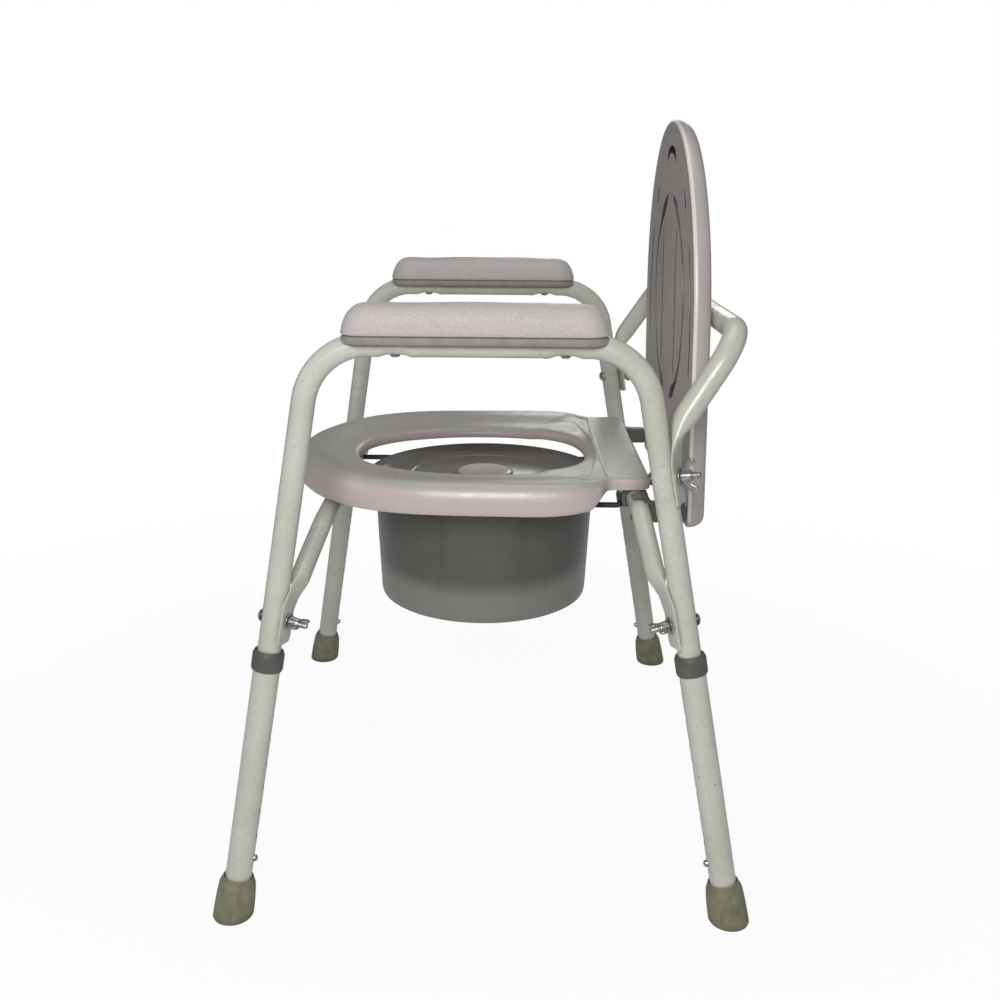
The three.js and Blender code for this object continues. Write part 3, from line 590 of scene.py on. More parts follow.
def plastic_material(name, a, b, c, grain=0.55, depth=0.10, rough=(0.34, 0.5), streak=(1, 1, 0.12), dirt=None, disc=None, low=None, groove_shade=None, specks=0.2, side=None):
    """Moulded plastic: clouded colour, fine moulded texture, faint rubbed streaks."""
    m = Mat(name)
    cloud = m.noise(90, 3)
    mid = m.noise(11, 3, 0.6)
    fine = m.noise(grain, 3, 0.65)
    lines = m.noise(3.2, 4, 0.6, co=m.stretch(*streak))
    base = m.mix(m.span(cloud, 0.32, 0.68), lin(*a), lin(*b))
    base = m.mix(m.math("MULTIPLY", m.span(mid, 0.5, 0.8), 0.35), base, lin(*c))
    base = m.mix(m.math("MULTIPLY", m.span(lines, 0.52, 0.74), 0.22), base, lin(*c))
    base = m.mix(m.math("MULTIPLY", m.span(fine, 0.56, 0.74), specks), base, lin(*(min(255, x * 1.14) for x in a)))
    worn = m.math("MULTIPLY", m.edge(0.53, 0.6), m.span(m.noise(6, 4), 0.42, 0.62))
    base = m.mix(m.math("MULTIPLY", worn, 0.3 if specks > 0.1 else 0.08), base, lin(*(min(255, x * 1.25) for x in a)))
    if disc:                      # a rubbed disc on the axis of the pail: radius in mm, colour
        x, y = m.axis(0), m.math("SUBTRACT", m.axis(1), PAIL_Y * MM)
        r2 = m.math("SQRT", m.math("ADD", m.math("MULTIPLY", x, x), m.math("MULTIPLY", y, y)))
        base = m.mix(m.math("MULTIPLY", m.span(r2, disc[0] * MM, (disc[0] - 2.5) * MM), 0.8), base, lin(*disc[1]))
    if low:                       # painted light: paler towards the foot, below the edge of the seat's painted shadow: heights in mm, colour
        f = m.math("ADD", m.axis(2), m.math("MULTIPLY", m.noise(170, 1), 0.03))
        base = m.mix(m.span(f, (low[0] + 15) * MM, (low[1] + 15) * MM), base, lin(*low[2]))
    if side:                      # painted light: the upright faces take the lighter, pinker side colour, the top keeps the base, as lit from the side
        n = m.t.nodes.new("ShaderNodeSeparateXYZ")
        m.t.links.new(m.co.node.outputs["Normal"], n.inputs[0])
        base = m.mix(m.span(n.outputs[2], 0.8, 0.3), base, lin(*side))
    if groove_shade:                      # painted shade: the lid's grooves and slot are painted dark: colour
        x, z = m.axis(0), m.axis(2)
        w = m.math("ADD", m.math("MULTIPLY", m.math("SUBTRACT", m.axis(1), LID_FACE_Y * MM), -1.0), m.math("MULTIPLY", m.math("SUBTRACT", z, REAR_BAR_Z * MM), -LID_TILT))
        h = m.math("MAXIMUM", m.math("SUBTRACT", z, (REAR_BAR_Z + 178) * MM), 0.0)
        q = m.math("ADD", m.math("POWER", m.math("MULTIPLY", x, 1 / (LID_HALF * MM)), 2.0), m.math("POWER", m.math("MULTIPLY", h, 1 / ((LID_TOP_H - 178) * MM)), 2.0))
        within = m.math("MULTIPLY", m.span(q, 0.9, 0.88), m.math("MULTIPLY", m.span(w, -1.04 * MM, -1.2 * MM), m.span(w, (-LID_T + 2) * MM, (-LID_T + 4) * MM)))
        base = m.mix(m.math("MULTIPLY", within, 0.88), base, lin(*groove_shade))
        # painted highlight: a pale line along the rounded front edge of the lid
        edge_highlight = m.math("MULTIPLY", m.span(q, 0.966, 0.982), m.span(w, -4.2 * MM, -2.6 * MM))
        base = m.mix(m.math("MULTIPLY", edge_highlight, 0.6), base, lin(244, 240, 238))
    if dirt:
        base = m.mix(m.math("MULTIPLY", m.span(m.noise(20, 5, 0.65), 0.52, 0.72), 0.5), base, lin(*dirt))
    r = m.math("ADD", m.span(mid, 0.2, 0.8, rough[0], rough[1]), m.math("MULTIPLY", m.span(lines, 0.5, 0.7), 0.08 if specks > 0.1 else 0.02))
    m.bump(fine, 0.3, depth)
    m.bump(mid, 0.12, 0.25)
    return m.done(base, r)


def rubber_material():
    m = Mat("tip_rubber")
    cloud = m.noise(14, 4, 0.6)
    smear = m.noise(6, 4, 0.65, co=m.stretch(1, 1, 0.3))
    fine = m.noise(0.7, 3, 0.7)
    base = m.mix(m.span(cloud, 0.35, 0.68), lin(*TIP_A), lin(*TIP_B))
    base = m.mix(m.math("MULTIPLY", m.span(smear, 0.5, 0.72), 0.5), base, lin(*TIP_C))
    low = m.span(m.axis(2), 0.012, 0.0)
    base = m.mix(m.math("MULTIPLY", low, 0.5), base, lin(92, 88, 70))
    m.bump(fine, 0.35, 0.12)
    m.bump(cloud, 0.25, 0.5)
    return m.done(base, m.span(smear, 0.2, 0.8, 0.55, 0.8))


def steel_material():
    m = Mat("zinc_steel")
    cloud = m.noise(5, 4, 0.6)
    base = m.mix(m.span(cloud, 0.35, 0.7), lin(186, 186, 184), lin(142, 142, 142))
    spot = m.span(m.noise(2.2, 4, 0.7), 0.6, 0.72)
    base = m.mix(m.math("MULTIPLY", spot, 0.5), base, lin(104, 98, 92))
    m.bump(m.noise(0.5, 3, 0.6), 0.25, 0.08)
    m.bump(m.noise(2.0, 3, 0.6), 0.25, 0.2)
    return m.done(base, m.span(cloud, 0.2, 0.8, 0.24, 0.46), 0.92)


def rail_material():
    m = Mat("rail_paint")
    base = m.mix(m.span(m.noise(12, 4), 0.35, 0.7), lin(34, 33, 32), lin(52, 50, 48))
    base = m.mix(m.math("MULTIPLY", m.span(m.noise(2, 4, 0.7), 0.62, 0.7), 0.6), base, lin(110, 106, 100))
    m.bump(m.noise(1.2, 3), 0.3, 0.12)
    return m.done(base, m.span(m.noise(8, 3), 0.2, 0.8, 0.35, 0.55), 0.1)


FRAME_A, FRAME_B, FRAME_C = (200, 200, 190), (190, 190, 178), (172, 170, 157)
PAD_A, PAD_B, PAD_C, PAD_D = (198, 191, 189), (203, 193, 194), (222, 216, 215), (140, 132, 130)
# colours of the pad's lower shell, painted darker as its shade
SHADED_BAND_A, SHADED_BAND_B = (148, 144, 140), (136, 132, 128)
TIP_A, TIP_B, TIP_C = (134, 132, 108), (117, 115, 91), (92, 90, 69)

PAINT = paint_material()
PAD = pad_material()
# the seat's side colour is painted light on its upright faces
SEAT = plastic_material("seat_plastic", (178, 175, 168), (173, 170, 162), (160, 156, 148), rough=(0.26, 0.38), depth=0.06, streak=(0.3, 1, 1), side=(192, 180, 178))
# the lid's groove colour is painted shade in its grooves and slot
LID = plastic_material("lid_plastic", (186, 178, 176), (178, 171, 168), (162, 155, 152), rough=(0.26, 0.38), depth=0.06, streak=(1, 1, 0.1), groove_shade=(48, 46, 44))
# the hinge lugs are painted dark grey, as the shade they sit in behind the seat
SHADED_LUG = plastic_material("lug_plastic_shaded", (104, 100, 98), (94, 91, 88), (82, 79, 76), rough=(0.36, 0.5), streak=(1, 1, 0.2))
PAIL_LID = plastic_material("pail_lid_plastic", (116, 115, 111), (110, 109, 105), (100, 99, 95), grain=0.9, rough=(0.14, 0.24), depth=0.015, streak=(1, 1, 0.4), disc=(31.5, (168, 164, 160)), specks=0.0)
# the pail's low colour is painted light below the seat's cast shadow
PAIL = plastic_material("pail_plastic", (88, 87, 83), (82, 82, 78), (72, 72, 69), rough=(0.16, 0.28), depth=0.03, streak=(1, 1, 0.08), low=(283, 256, (124, 123, 119)), specks=0.05)
CLIP = plastic_material("clip_plastic", (92, 91, 87), (84, 83, 80), (70, 69, 66), rough=(0.42, 0.6), depth=0.14, dirt=(112, 108, 98))
RUBBER = rubber_material()
STEEL = steel_material()
RAIL = rail_material()


def piece(name, o, body, material, angle=38, flat=False):
    o.name = name + "_look"
    tidy(o, angle, flat)
    return dress(o, body, [name], material)


def pair(name, o, bodies, material, angle=38, flat=False):
    """The left-hand object and its mirror image."""
    right = mirrored(o, name + "_right_look")
    piece(name + "_left", o, bodies[0], material, angle, flat)
    piece(name + "_right", right, bodies[1], material, angle, flat)


FRAME2 = ("frame", "frame")


# ---- side frames ----
def through_leg(z, front, d, r, a=-20, b=20):
    c = leg_point(front, z)
    return rod(c + d * a, c + d * b, r)


frame_path = refine(rounded([
    [leg_x(UPPER_END_Z), leg_y(True, UPPER_END_Z), UPPER_END_Z],
    [leg_x(ARM_Z), leg_y(True, ARM_Z), ARM_Z, CORNER_R],
    [leg_x(ARM_Z), leg_y(False, ARM_Z), ARM_Z, CORNER_R],
    [leg_x(UPPER_END_Z), leg_y(False, UPPER_END_Z), UPPER_END_Z],
], 4), lambda p: 2.5 if p[2] > ARM_Z - 1 else 24)
side = hollow(frame_path, PLANE, round_section(TUBE_R, TUBE_IN), 48)
v = side[0]
for ys in PAD_SCREW_Y:            # the arm tube is dimpled from below at each pad screw
    w = 1 - smooth((np.abs(v[:, 1] - ys) - 6.5) / 9)
    under = smooth((ARM_Z + 1 - v[:, 2]) / TUBE_R * 1.15) * (v[:, 2] > ARM_Z - 13)
    lump = 0.4 * np.exp(-((np.abs(v[:, 1] - ys) - 17) / 3.0) ** 2)
    v[:, 2] += (2.1 * w - lump) * under
side = to_object("side", side)
boolean(side, [stack(
    through_leg(BOLT_Z, True, FRONT_BOLT, BOLT_HOLE_R), through_leg(BOLT_Z, False, REAR_BOLT, BOLT_HOLE_R), through_leg(BACK_BOLT_Z, False, BACK_BOLT, BOLT_HOLE_R),
    through_leg(BUTTON_Z, True, leg_inward(True), BUTTON_HOLE_R, 5, 15), through_leg(BUTTON_Z, False, leg_inward(False), BUTTON_HOLE_R, 5, 15),
    *[rod(V(leg_x(ARM_Z), y, ARM_Z - 20), V(leg_x(ARM_Z), y, ARM_Z + 20), 2.9) for y in PAD_SCREW_Y])])
pair("side_frame", side, FRAME2, PAINT)


# ---- arm pads: a crowned leather-grained cover over a narrow moulded shell ----
def pad_mesh():
    w, l, r, xc, yc = PAD_W / 2, (PAD_Y1 - PAD_Y0) / 2, 19.0, leg_x(ARM_Z) - 1, (PAD_Y0 + PAD_Y1) / 2
    out = []
    for cx, cy, a0 in ((w - r, l - r, 0), (-(w - r), l - r, 90), (-(w - r), -(l - r), 180), (w - r, -(l - r), 270)):
        for k in range(15):
            a = math.radians(a0 + 90 * k / 14)
            out.append((cx + r * math.cos(a), cy + r * math.sin(a)))
    full = []
    for a, b in zip(out, out[1:] + out[:1]):
        a, b = V(*a), V(*b)
        n = max(1, int(np.linalg.norm(b - a) / 4))
        full += [a + (b - a) * k / n for k in range(n)]
    o = np.array(full)
    spine = np.stack([np.zeros(len(o)), np.clip(o[:, 1], -(l - w), l - w)], 1)
    toward = spine - o

    def ring(inset, z):          # inset in mm from the outline, towards the spine
        q = o + toward * min(inset / w, 1)
        return np.stack([q[:, 0] + xc, q[:, 1] + yc, np.full(len(q), float(z)) if np.isscalar(z) else z], 1)

    seam, top, p = 565.8, PAD_Z1 - 0.2, 3.3
    rings = []
    for u in (1.0, 0.8, 0.6, 0.4, 0.2, 0.1):
        rings.append(ring(w * u, PAD_Z0))
    for inset, z in ((2.9, PAD_Z0), (1.9, PAD_Z0 + 0.4), (1.0, PAD_Z0 + 1.4), (0.45, PAD_Z0 + 3.0), (0.25, PAD_Z0 + 5), (0.3, PAD_Z0 + 7), (0.5, seam - 1.3),
                     (0.9, seam - 0.8), (1.5, seam - 0.5), (1.9, seam - 0.1), (1.7, seam + 0.35), (1.0, seam + 0.6), (0.35, seam + 1.0)):
        rings.append(ring(inset, z))
    z0 = seam + 1.4
    for k in range(30):
        phi = math.radians(90 - 90 * k / 29)
        u = math.sin(phi) ** (2 / p)
        h = max(0.0, math.cos(phi)) ** (2 / p)
        q = ring(w * (1 - u), 0.0)
        # the cover is softly uneven: a slow swell along it, slightly pulled down over the two screws
        along = q[:, 1] - yc
        soft = 0.55 * np.sin(along / 31 + 1.2) + 0.35 * np.sin(along / 13 + q[:, 0] / 9)
        pull = -0.7 * np.exp(-((q[:, 1] - PAD_SCREW_Y[0]) / 18) ** 2) - 0.7 * np.exp(-((q[:, 1] - PAD_SCREW_Y[1]) / 18) ** 2)
        q[:, 2] = z0 + (top - 0.8 - z0) * h + (soft + pull) * h * 0.55
        q[:, 1] = yc + along * (1 - 0.05 * h)
        rings.append(q)
    return skin(rings, caps=False)


pad = to_object("pad", pad_mesh())
tidy(pad)                         # closes the crown along its middle line
carve(pad, [rod(V(leg_x(ARM_Z), PAD_Y0 - 20, ARM_Z), V(leg_x(ARM_Z), PAD_Y1 + 20, ARM_Z), TUBE_R + 0.9, 64)])
carve(pad, [rod(V(leg_x(ARM_Z), y, ARM_Z), V(leg_x(ARM_Z), y, 583), 2.7) for y in PAD_SCREW_Y])
pair("arm_pad", pad, FRAME2, PAD, 50)


def thread(r, depth, h0, h1, pitch):
    """Profile stations of a thread's crests and roots from h0 to h1."""
    out, h = [], h0
    while h < h1 - pitch:
        out += [[r, h], [r, h + pitch * 0.2], [r - depth, h + pitch * 0.55], [r - depth, h + pitch * 0.65]]
        h += pitch
    return out + [[r, h], [r, h1]]


for i, y in enumerate(PAD_SCREW_Y):
    screw = to_object("screw", turned(
        [[0, 0.9], [0.9, 0.9], [1.3, 0.1], [2.6, 0.3], [3.8, 0.8], [4.5, 1.6], [4.6, 2.2], [2.0, 2.2]] + thread(2.0, 0.3, 6, 36, 1.4) + [[1.0, 37.4], [0, 38]],
        V(leg_x(ARM_Z), y, ARM_Z - TUBE_R - GAP), V(0, 0, 1), 32))
    cross = [slab([[-2.6, -0.45], [2.6, -0.45], [2.6, 0.45], [-2.6, 0.45]], -1, 1.1,
                  lambda p, q, d, c=math.cos(t), s=math.sin(t): np.stack([leg_x(ARM_Z) + p * c - q * s, y + p * s + q * c, ARM_Z - TUBE_R - GAP + d], 1), 0.05, 1) for t in (0.6, 0.6 + math.pi / 2)]
    boolean(screw, cross)
    pair("pad_screw_rear" if i else "pad_screw_front", screw, FRAME2, STEEL, 30)

# ---- crossbars and the back tube ----
END = TUBE_R + 0.25 + GAP + FLAT_T


def whole(half):
    return half + [[-q[0]] + q[1:] for q in half[:-1][::-1]]


def end_point(front, z, d, more=0.0):
    return list(leg_point(front, z) + d * (END + more))


def turned_side(base, d, flat):
    """The thin direction of a bar: base along its run, turning to the bolt's direction where it is pressed flat."""
    base, e = np.array(base, float), d * math.copysign(1.0, d[1])
    return lambda p: base * (1 - flat(p)) + V(-e[0] if p[0] < 0 else e[0], e[1], e[2]) * flat(p)


front_half = [end_point(True, 281, FRONT_BOLT), end_point(True, 314, FRONT_BOLT, 0.2),
              [266.5, -176.3, 325, 12], [238, -172.5, 337.5], [170, -163.3, FRONT_BAR_Z, 60], [0, FRONT_BAR_Y, FRONT_BAR_Z]]
rear_half = [end_point(False, 281, REAR_BOLT), end_point(False, 316, REAR_BOLT, 0.2),
             [266, 167, 331, 14], [245, 161.5, 343.5], [188, REAR_BAR_Y, REAR_BAR_Z, 30], [0, REAR_BAR_Y, REAR_BAR_Z]]
back_half = [end_point(False, 414, BACK_BOLT), end_point(False, 449, BACK_BOLT), [leg_x(484) + 3, 173.5, 484, 45],
             [251.5, BACK_BAR_Y, BACK_BAR_Z, 40], [0, BACK_BAR_Y, BACK_BAR_Z]]


def flip(mesh):
    v, f = mesh
    return v * V(-1, 1, 1), [tuple(q[::-1]) for q in f]


def crossbar(half, flat, front, bz, d, base, r_out, r_in, n=44):
    path = refine(rounded(whole(half), 4), lambda p: 2.5 if abs(p[0]) > 215 and p[2] < 520 else 20)
    o = to_object("bar", hollow(path, turned_side(base, d, flat), pressed_section(r_out, r_in, flat), n))
    hole = through_leg(bz, front, d, BOLT_HOLE_R, -30, 30)
    return boolean(o, [stack(hole, flip(hole))])


piece("front_crossbar", crossbar(front_half, lambda p: 1 - float(smooth((leg_x(p[2]) - abs(p[0]) - 4) / 22)), True, BOLT_Z, FRONT_BOLT, (0, 1, 0), BAR_R, BAR_IN), "frame", PAINT)
piece("rear_crossbar", crossbar(rear_half, lambda p: 1 - float(smooth((leg_x(p[2]) - abs(p[0]) - 4) / 20)), False, BOLT_Z, REAR_BOLT, (0, 1, 0), BAR_R, BAR_IN), "frame", PAINT)
piece("back_tube", crossbar(back_half, lambda p: 1 - float(smooth((p[2] - 460) / 40)), False, BACK_BOLT_Z, BACK_BOLT, (0, 0.82, -0.57), TUBE_R, TUBE_IN, 48), "frame", PAINT)


# ---- carriage bolts, washers and wing nuts ----
def wing_nut(o, x, d, z):
    """Wing nut seated at o with its axis along d and its wings along z."""
    hub = turned([list(q) for q in fillet([[3.15, 0, 0.3], [5.7, 0, 0.5], [5.9, 1.2, 0.5], [5.0, 8.4, 0.6], [4.7, 9.5, 0.5], [3.15, 9.5, 0.3]], 3)], o, d, 40, loop=True)
    b = to_object("nut", hub)
    out = spline([[3.9, 0.9], [6.2, 1.0], [9.4, 2.9], [12.6, 5.0], [15.2, 7.6], [16.1, 10.6], [15.0, 13.2], [12.4, 13.9], [10.2, 12.7], [8.4, 9.6], [6.4, 7.9], [3.9, 7.4]], 4, closed=True)
    for s in (1, -1):
        def place(p, q, t, s=s):
            return o + np.outer(s * p, z) + np.outer(q, d) + np.outer(t, x)
        boolean(b, [slab(out, -1.35, 1.35, place, 0.85, 4)], "UNION")
    return b


for name, front, z, d, wings in (("front", True, BOLT_Z, FRONT_BOLT, V(0.95, 0, 0.1)), ("rear", False, BOLT_Z, REAR_BOLT, V(0.95, 0, 0.1)),
                                 ("back_tube", False, BACK_BOLT_Z, BACK_BOLT, V(0, 0, 1))):
    c = leg_point(front, z)
    head = TUBE_R + 0.4 + 3.6
    bolt = to_object("bolt", turned([[0, 0], [1.6, 0.1], [3.2, 0.45], [4.6, 1.15], [5.6, 2.15], [6.15, 3.1], [6.3, 3.45], [6.15, 3.6], [BOLT_R, 3.6]]
                                    + thread(BOLT_R, 0.32, 27, 48.4, 1.1) + [[2.5, 49.4], [0, 49.4]], c - d * head, d, 40))
    pair(f"bolt_{name}", bolt, FRAME2, STEEL, 45)
    w = END + FLAT_T + 0.75
    washer = to_object("washer", turned([list(q) for q in fillet([[3.7, 0, 0.15], [8.0, 0, 0.35], [8.0, 1.3, 0.35], [3.7, 1.3, 0.15]], 3)], c + d * w, d, 48, loop=True))
    pair(f"washer_{name}", washer, FRAME2, STEEL, 45)
    k = unit(wings - d * (d @ wings))
    pair(f"wing_nut_{name}", wing_nut(c + d * (w + 1.3 + GAP), np.cross(d, k), d, k), (f"nut_{name}_left", f"nut_{name}_right"), STEEL, 42)

# ---- lower legs, collars, rubber tips and snap buttons ----
for name, front in (("front", True), ("rear", False)):
    a, d = leg_axis(front), leg_inward(front)
    bodies = (f"leg_{name}_left", f"leg_{name}_right")
    path = refine([leg_point(front, LEG_FOOT_Z), leg_point(front, LEG_TOP_Z)], lambda p: 12)
    leg = to_object("leg", hollow(path, PLANE, round_section(LEG_R, LEG_IN), 52))
    boolean(leg, [stack(*[rod(leg_point(front, BUTTON_Z) + a * (k * HOLE_PITCH) + d * 6, leg_point(front, BUTTON_Z) + a * (k * HOLE_PITCH) + d * 18, BUTTON_HOLE_R, 28) for k in range(HOLES)])])
    pair(f"lower_leg_{name}", leg, bodies, PAINT, 35)

    h = lambda z: (z - COLLAR_Z0) / a[2]
    top, lip = h(COLLAR_Z1), h(LEG_TOP_Z) + 0.8
    prof = fillet([[13.2, 0, 0.3], [14.2, 0, 0.6], [COLLAR_R, 2.2, 0.8], [COLLAR_R, top - 3.6, 1.0], [14.2, top - 1.9, 0.8], [13.6, top, 0.9], [11.7, top, 0.6], [11.7, lip, 0.2], [13.2, lip, 0.2]], 4)
    pair(f"collar_{name}", to_object("collar", turned([list(q) for q in prof], leg_point(front, COLLAR_Z0), a, 56, loop=True)), bodies, CLIP, 45)

    n = 64
    t = np.arange(n) * 2 * math.pi / n
    side_prof = fillet([[19.0, 0.0, 0.9], [19.9, 1.6, 1.0], [TIP_FOOT_R - 0.7, 4.0, 2], [19.7, 9.0, 4], [19.3, 17.0, 6], [18.3, 27.0, 6], [17.35, 34.6, 2.5], [16.2, 37.4, 1.2], [15.3, 38.6, 0.7],
                        [TIP_TOP_R - 0.1, 40.8, 1.0], [14.3, TIP_TOP_Z, 0.7], [13.45, 41.4, 0.4], [13.4, 38.0, 1], [13.4, LEG_FOOT_Z - GAP + 0.2, 0.2], [13.0, LEG_FOOT_Z - GAP, 0]], 4, closed=False)
    prof = [[0, 0.9], [4.2, 0.9], [4.8, 0.0], [7.2, 0.0], [7.8, 0.9], [10.2, 0.9], [10.8, 0.0], [13.2, 0.0], [13.8, 0.9], [15.6, 0.9], [16.2, 0.0]] + [list(q) for q in side_prof] + [[0, LEG_FOOT_Z - GAP]]
    rings = []
    inside = False
    for k, (r, z) in enumerate(prof):
        inside = inside or (k > 20 and r < 13.5)
        c = leg_point(front, z)
        px, py = r * np.cos(t), r * np.sin(t)
        tilt = 1.0 if inside else float(smooth((z - 8) / 30))
        rings.append(np.stack([c[0] + px, c[1] + py, z - tilt * (LEG_DX * px + (FRONT_DY if front else REAR_DY) * py)], 1))
    pair(f"rubber_tip_{name}", to_object("tip", skin(rings, caps=False)), bodies, RUBBER, 45)

    b = leg_point(front, BUTTON_Z)
    pin = [[0, 6], [BUTTON_R, 6], [BUTTON_R, 13.6], [3.25, 14.5], [2.75, 15.3], [1.9, 15.9], [0.95, 16.22], [0, 16.3]]
    button = to_object("button", turned(pin, b, d, 32))
    sd = np.cross(a, d)
    leaf = [[-9, 6.3], [6, 6.3], [7.8, 5.7], [9, 4.6], [22, -3.4], [23, -3.2], [23.3, -2.2], [9.6, 5.6], [8.2, 6.6], [6.4, 7], [-9, 7]]
    boolean(button, [slab(leaf, -2.5, 2.5, lambda p, q, t_: b + np.outer(p, a) + np.outer(q, d) + np.outer(t_, sd), 0.12, 2)], "UNION")
    pair(f"snap_button_{name}", button, (f"button_{name}_left", f"button_{name}_right"), STEEL, 40)

# ---- pail rails ----
rail = refine(rounded([[RAIL_END_X, FRONT_BAR_Y + BAR_R + 0.5, RAIL_Z], [RAIL_END_X, PAIL_Y - 109, RAIL_Z, 22], [RAIL_X, PAIL_Y - 42, RAIL_Z, 60], [RAIL_X, PAIL_Y + 42, RAIL_Z, 60],
                       [RAIL_END_X, PAIL_Y + 109, RAIL_Z, 22], [RAIL_END_X, REAR_BAR_Y - 12, RAIL_Z, 8], [RAIL_END_X, REAR_BAR_Y - 2.5, REAR_BAR_Z - BAR_R - 1.6]], 4), lambda p: 30)
pair("pail_rail", to_object("rail", hollow(rail, V(1, 0, 0.2), round_section(RAIL_R, 1.6), 28, 0.25)), FRAME2, RAIL)

# ---- seat ----
SEAT_OUT = [[0, -213], [30, -211], [60, -204], [91, -190.5], [120, -173.5], [145, -151], [162, -127], [174.5, -98], [181.5, -66], [184.5, -32], [186, 8], [187, 50], [185.5, 80], [180, 101], [171, 114], [160, 120.5], [152.5, 124.2], [148.8, 129],
            [148, 136], [148, 146], [148, 155], [146.6, 161.6], [141.8, 166.8], [135, 168.9], [125, 169], [90, 169], [45, 169], [0, 169]]
SEAT_HOLE = [[0, -144], [30, -140], [58, -126], [82, -98], [98, -58], [105, -16], [103, 28], [92, 66], [70, 93], [38, 107], [0, 111]]


def polar(half):
    """Radius about the seat's centre at an angle measured from the front."""
    pts = half + [[-x, y] for x, y in half if x > 0.5][::-1]
    c = np.array(spline(pts, 40, closed=True))
    a, r = np.arctan2(c[:, 0], -(c[:, 1] - SEAT_C)), np.hypot(c[:, 0], c[:, 1] - SEAT_C)
    i = np.argsort(a)
    a, r = a[i], r[i]
    a, r = np.concatenate([a - 2 * math.pi, a, a + 2 * math.pi]), np.concatenate([r, r, r])
    return lambda q: np.interp(q, a, r)


out_r, in_r = polar(SEAT_OUT), polar(SEAT_HOLE)
# stations round the seat, evenly spaced along its outer edge
dense = np.linspace(-math.pi, math.pi, 6001)
ex, ey = out_r(dense) * np.sin(dense), -out_r(dense) * np.cos(dense)
arc = np.concatenate([[0], np.cumsum(np.hypot(np.diff(ex), np.diff(ey)))])
A = np.interp(np.linspace(0, arc[-1], 421)[:-1], arc, dense)
I, O = in_r(A), out_r(A)
WID = O - I
YO = SEAT_C - O * np.cos(A)
FL = smooth((YO - 106.5) / 18.5)                 # 0 where the edge is the big roll, 1 where it is the flat rear flange
SKIRT = SEAT_SKIRT + 14 * smooth((np.abs(A) - 1.9) / 0.75)
RS = np.minimum(140.0 / np.maximum(-np.cos(A), 0.3), O - 12)   # the soft step up to the flange, a straight line across the seat
one = np.ones_like(A)


def station(roll, flat):
    """Blends a profile point (radius, height) of the roll into the matching one of the flange."""
    r = roll[0] + (flat[0] - roll[0]) * FL
    z = roll[1] + (flat[1] - roll[1]) * FL
    return r, z


GAPW = RS - I
top_pts = [
    station((I + 4.3, 387.0 * one), (I + 4.3, 388.4 * one)), station((I + 1.6, 386.6 * one), (I + 1.6, 388.0 * one)), station((I + 0.25, 388.2 * one), (I + 0.25, 389.4 * one)),
    station((I, 391.2 * one), (I, 392.2 * one)), station((I + 0.9, 394.6 * one), (I + 0.8, 395.6 * one)), station((I + 3.6, 397.2 * one), (I + 2.9, 398.6 * one)),
    station((I + 8.5, 398.6 * one), (I + np.minimum(8.5, 0.45 * GAPW), 400.4 * one)), station((I + 0.30 * WID, 400.2 * one), (I + 0.62 * GAPW, 401.6 * one)),
    station((I + 0.46 * WID, 402.6 * one), (I + 0.74 * GAPW, 402.6 * one)), station((I + 0.60 * WID, 404.9 * one), (RS - 2.4, 403.6 * one)),
    station((O - 19.5, SEAT_TOP - 0.15 * one), (RS - 1.1, 403.9 * one)), station((O - 14.5, SEAT_TOP * one), (RS + 0.7, 404.9 * one)), station((O - 10.2, SEAT_TOP - 1.0 * one), (RS + 2.4, 405.2 * one)),
    station((O - 6.4, 403.2 * one), (O - 7.5, 405.5 * one)), station((O - 3.4, 399.3 * one), (O - 3.4, 404.9 * one)), station((O - 1.3, np.maximum(393.8, SKIRT + 7)), (O - 1.0, 403.0 * one)),
    station((O - 0.2, np.maximum(387.4, SKIRT + 4.6)), (O - 0.1, 399.8 * one)), station((O - 0.1, np.maximum(381.4, SKIRT + 3)), (O, 396.0 * one)),
    station((O - 1.2, SKIRT + 1.5), (O - 0.25, 393.5 * one)), station((O - 2.2, SKIRT), (O - 1.1, 392.9 * one))]
under_pts = [
    station((O - 5.2, SKIRT), (O - 4.2, 392.9 * one)), station((O - 4.9, np.maximum(SKIRT + 2, 382.0)), (O - 5.0, 394.2 * one)), station((O - 5.4, np.maximum(SKIRT + 4, 388.6)), (O - 5.3, 398.4 * one)),
    station((O - 11, 398.0 * one), (O - 8, 401.2 * one)), station((I + 0.55 * WID, 399.4 * one), (RS + 6, 401.0 * one)), station((I + 15, 395.0 * one), (I + 9, 397.0 * one)), station((I + 5.2, 391.6 * one), (I + 5.2, 392.6 * one))]
T = spline([np.stack([r * np.sin(A), SEAT_C - r * np.cos(A), z], 1).ravel() for r, z in top_pts], 4)
U = spline([np.stack([r * np.sin(A), SEAT_C - r * np.cos(A), z], 1).ravel() for r, z in under_pts], 2)
seat = to_object("seat_tmp", skin([q.reshape(-1, 3) for q in T] + [q.reshape(-1, 3) for q in U], loop=True))
piece("seat", seat, "seat", SEAT, 32)


def along_x(cy, cz):
    return lambda p, q, t_: np.stack([t_, cy + p, cz + q], 1)


def c_ring(r_in, r_out, open_, half_open, n=28):
    t0, t1 = open_ + half_open, open_ + 2 * math.pi - half_open
    a = np.linspace(t0, t1, n)
    return [[r_out * math.cos(k), r_out * math.sin(k)] for k in a] + [[r_in * math.cos(k), r_in * math.sin(k)] for k in a[::-1]]


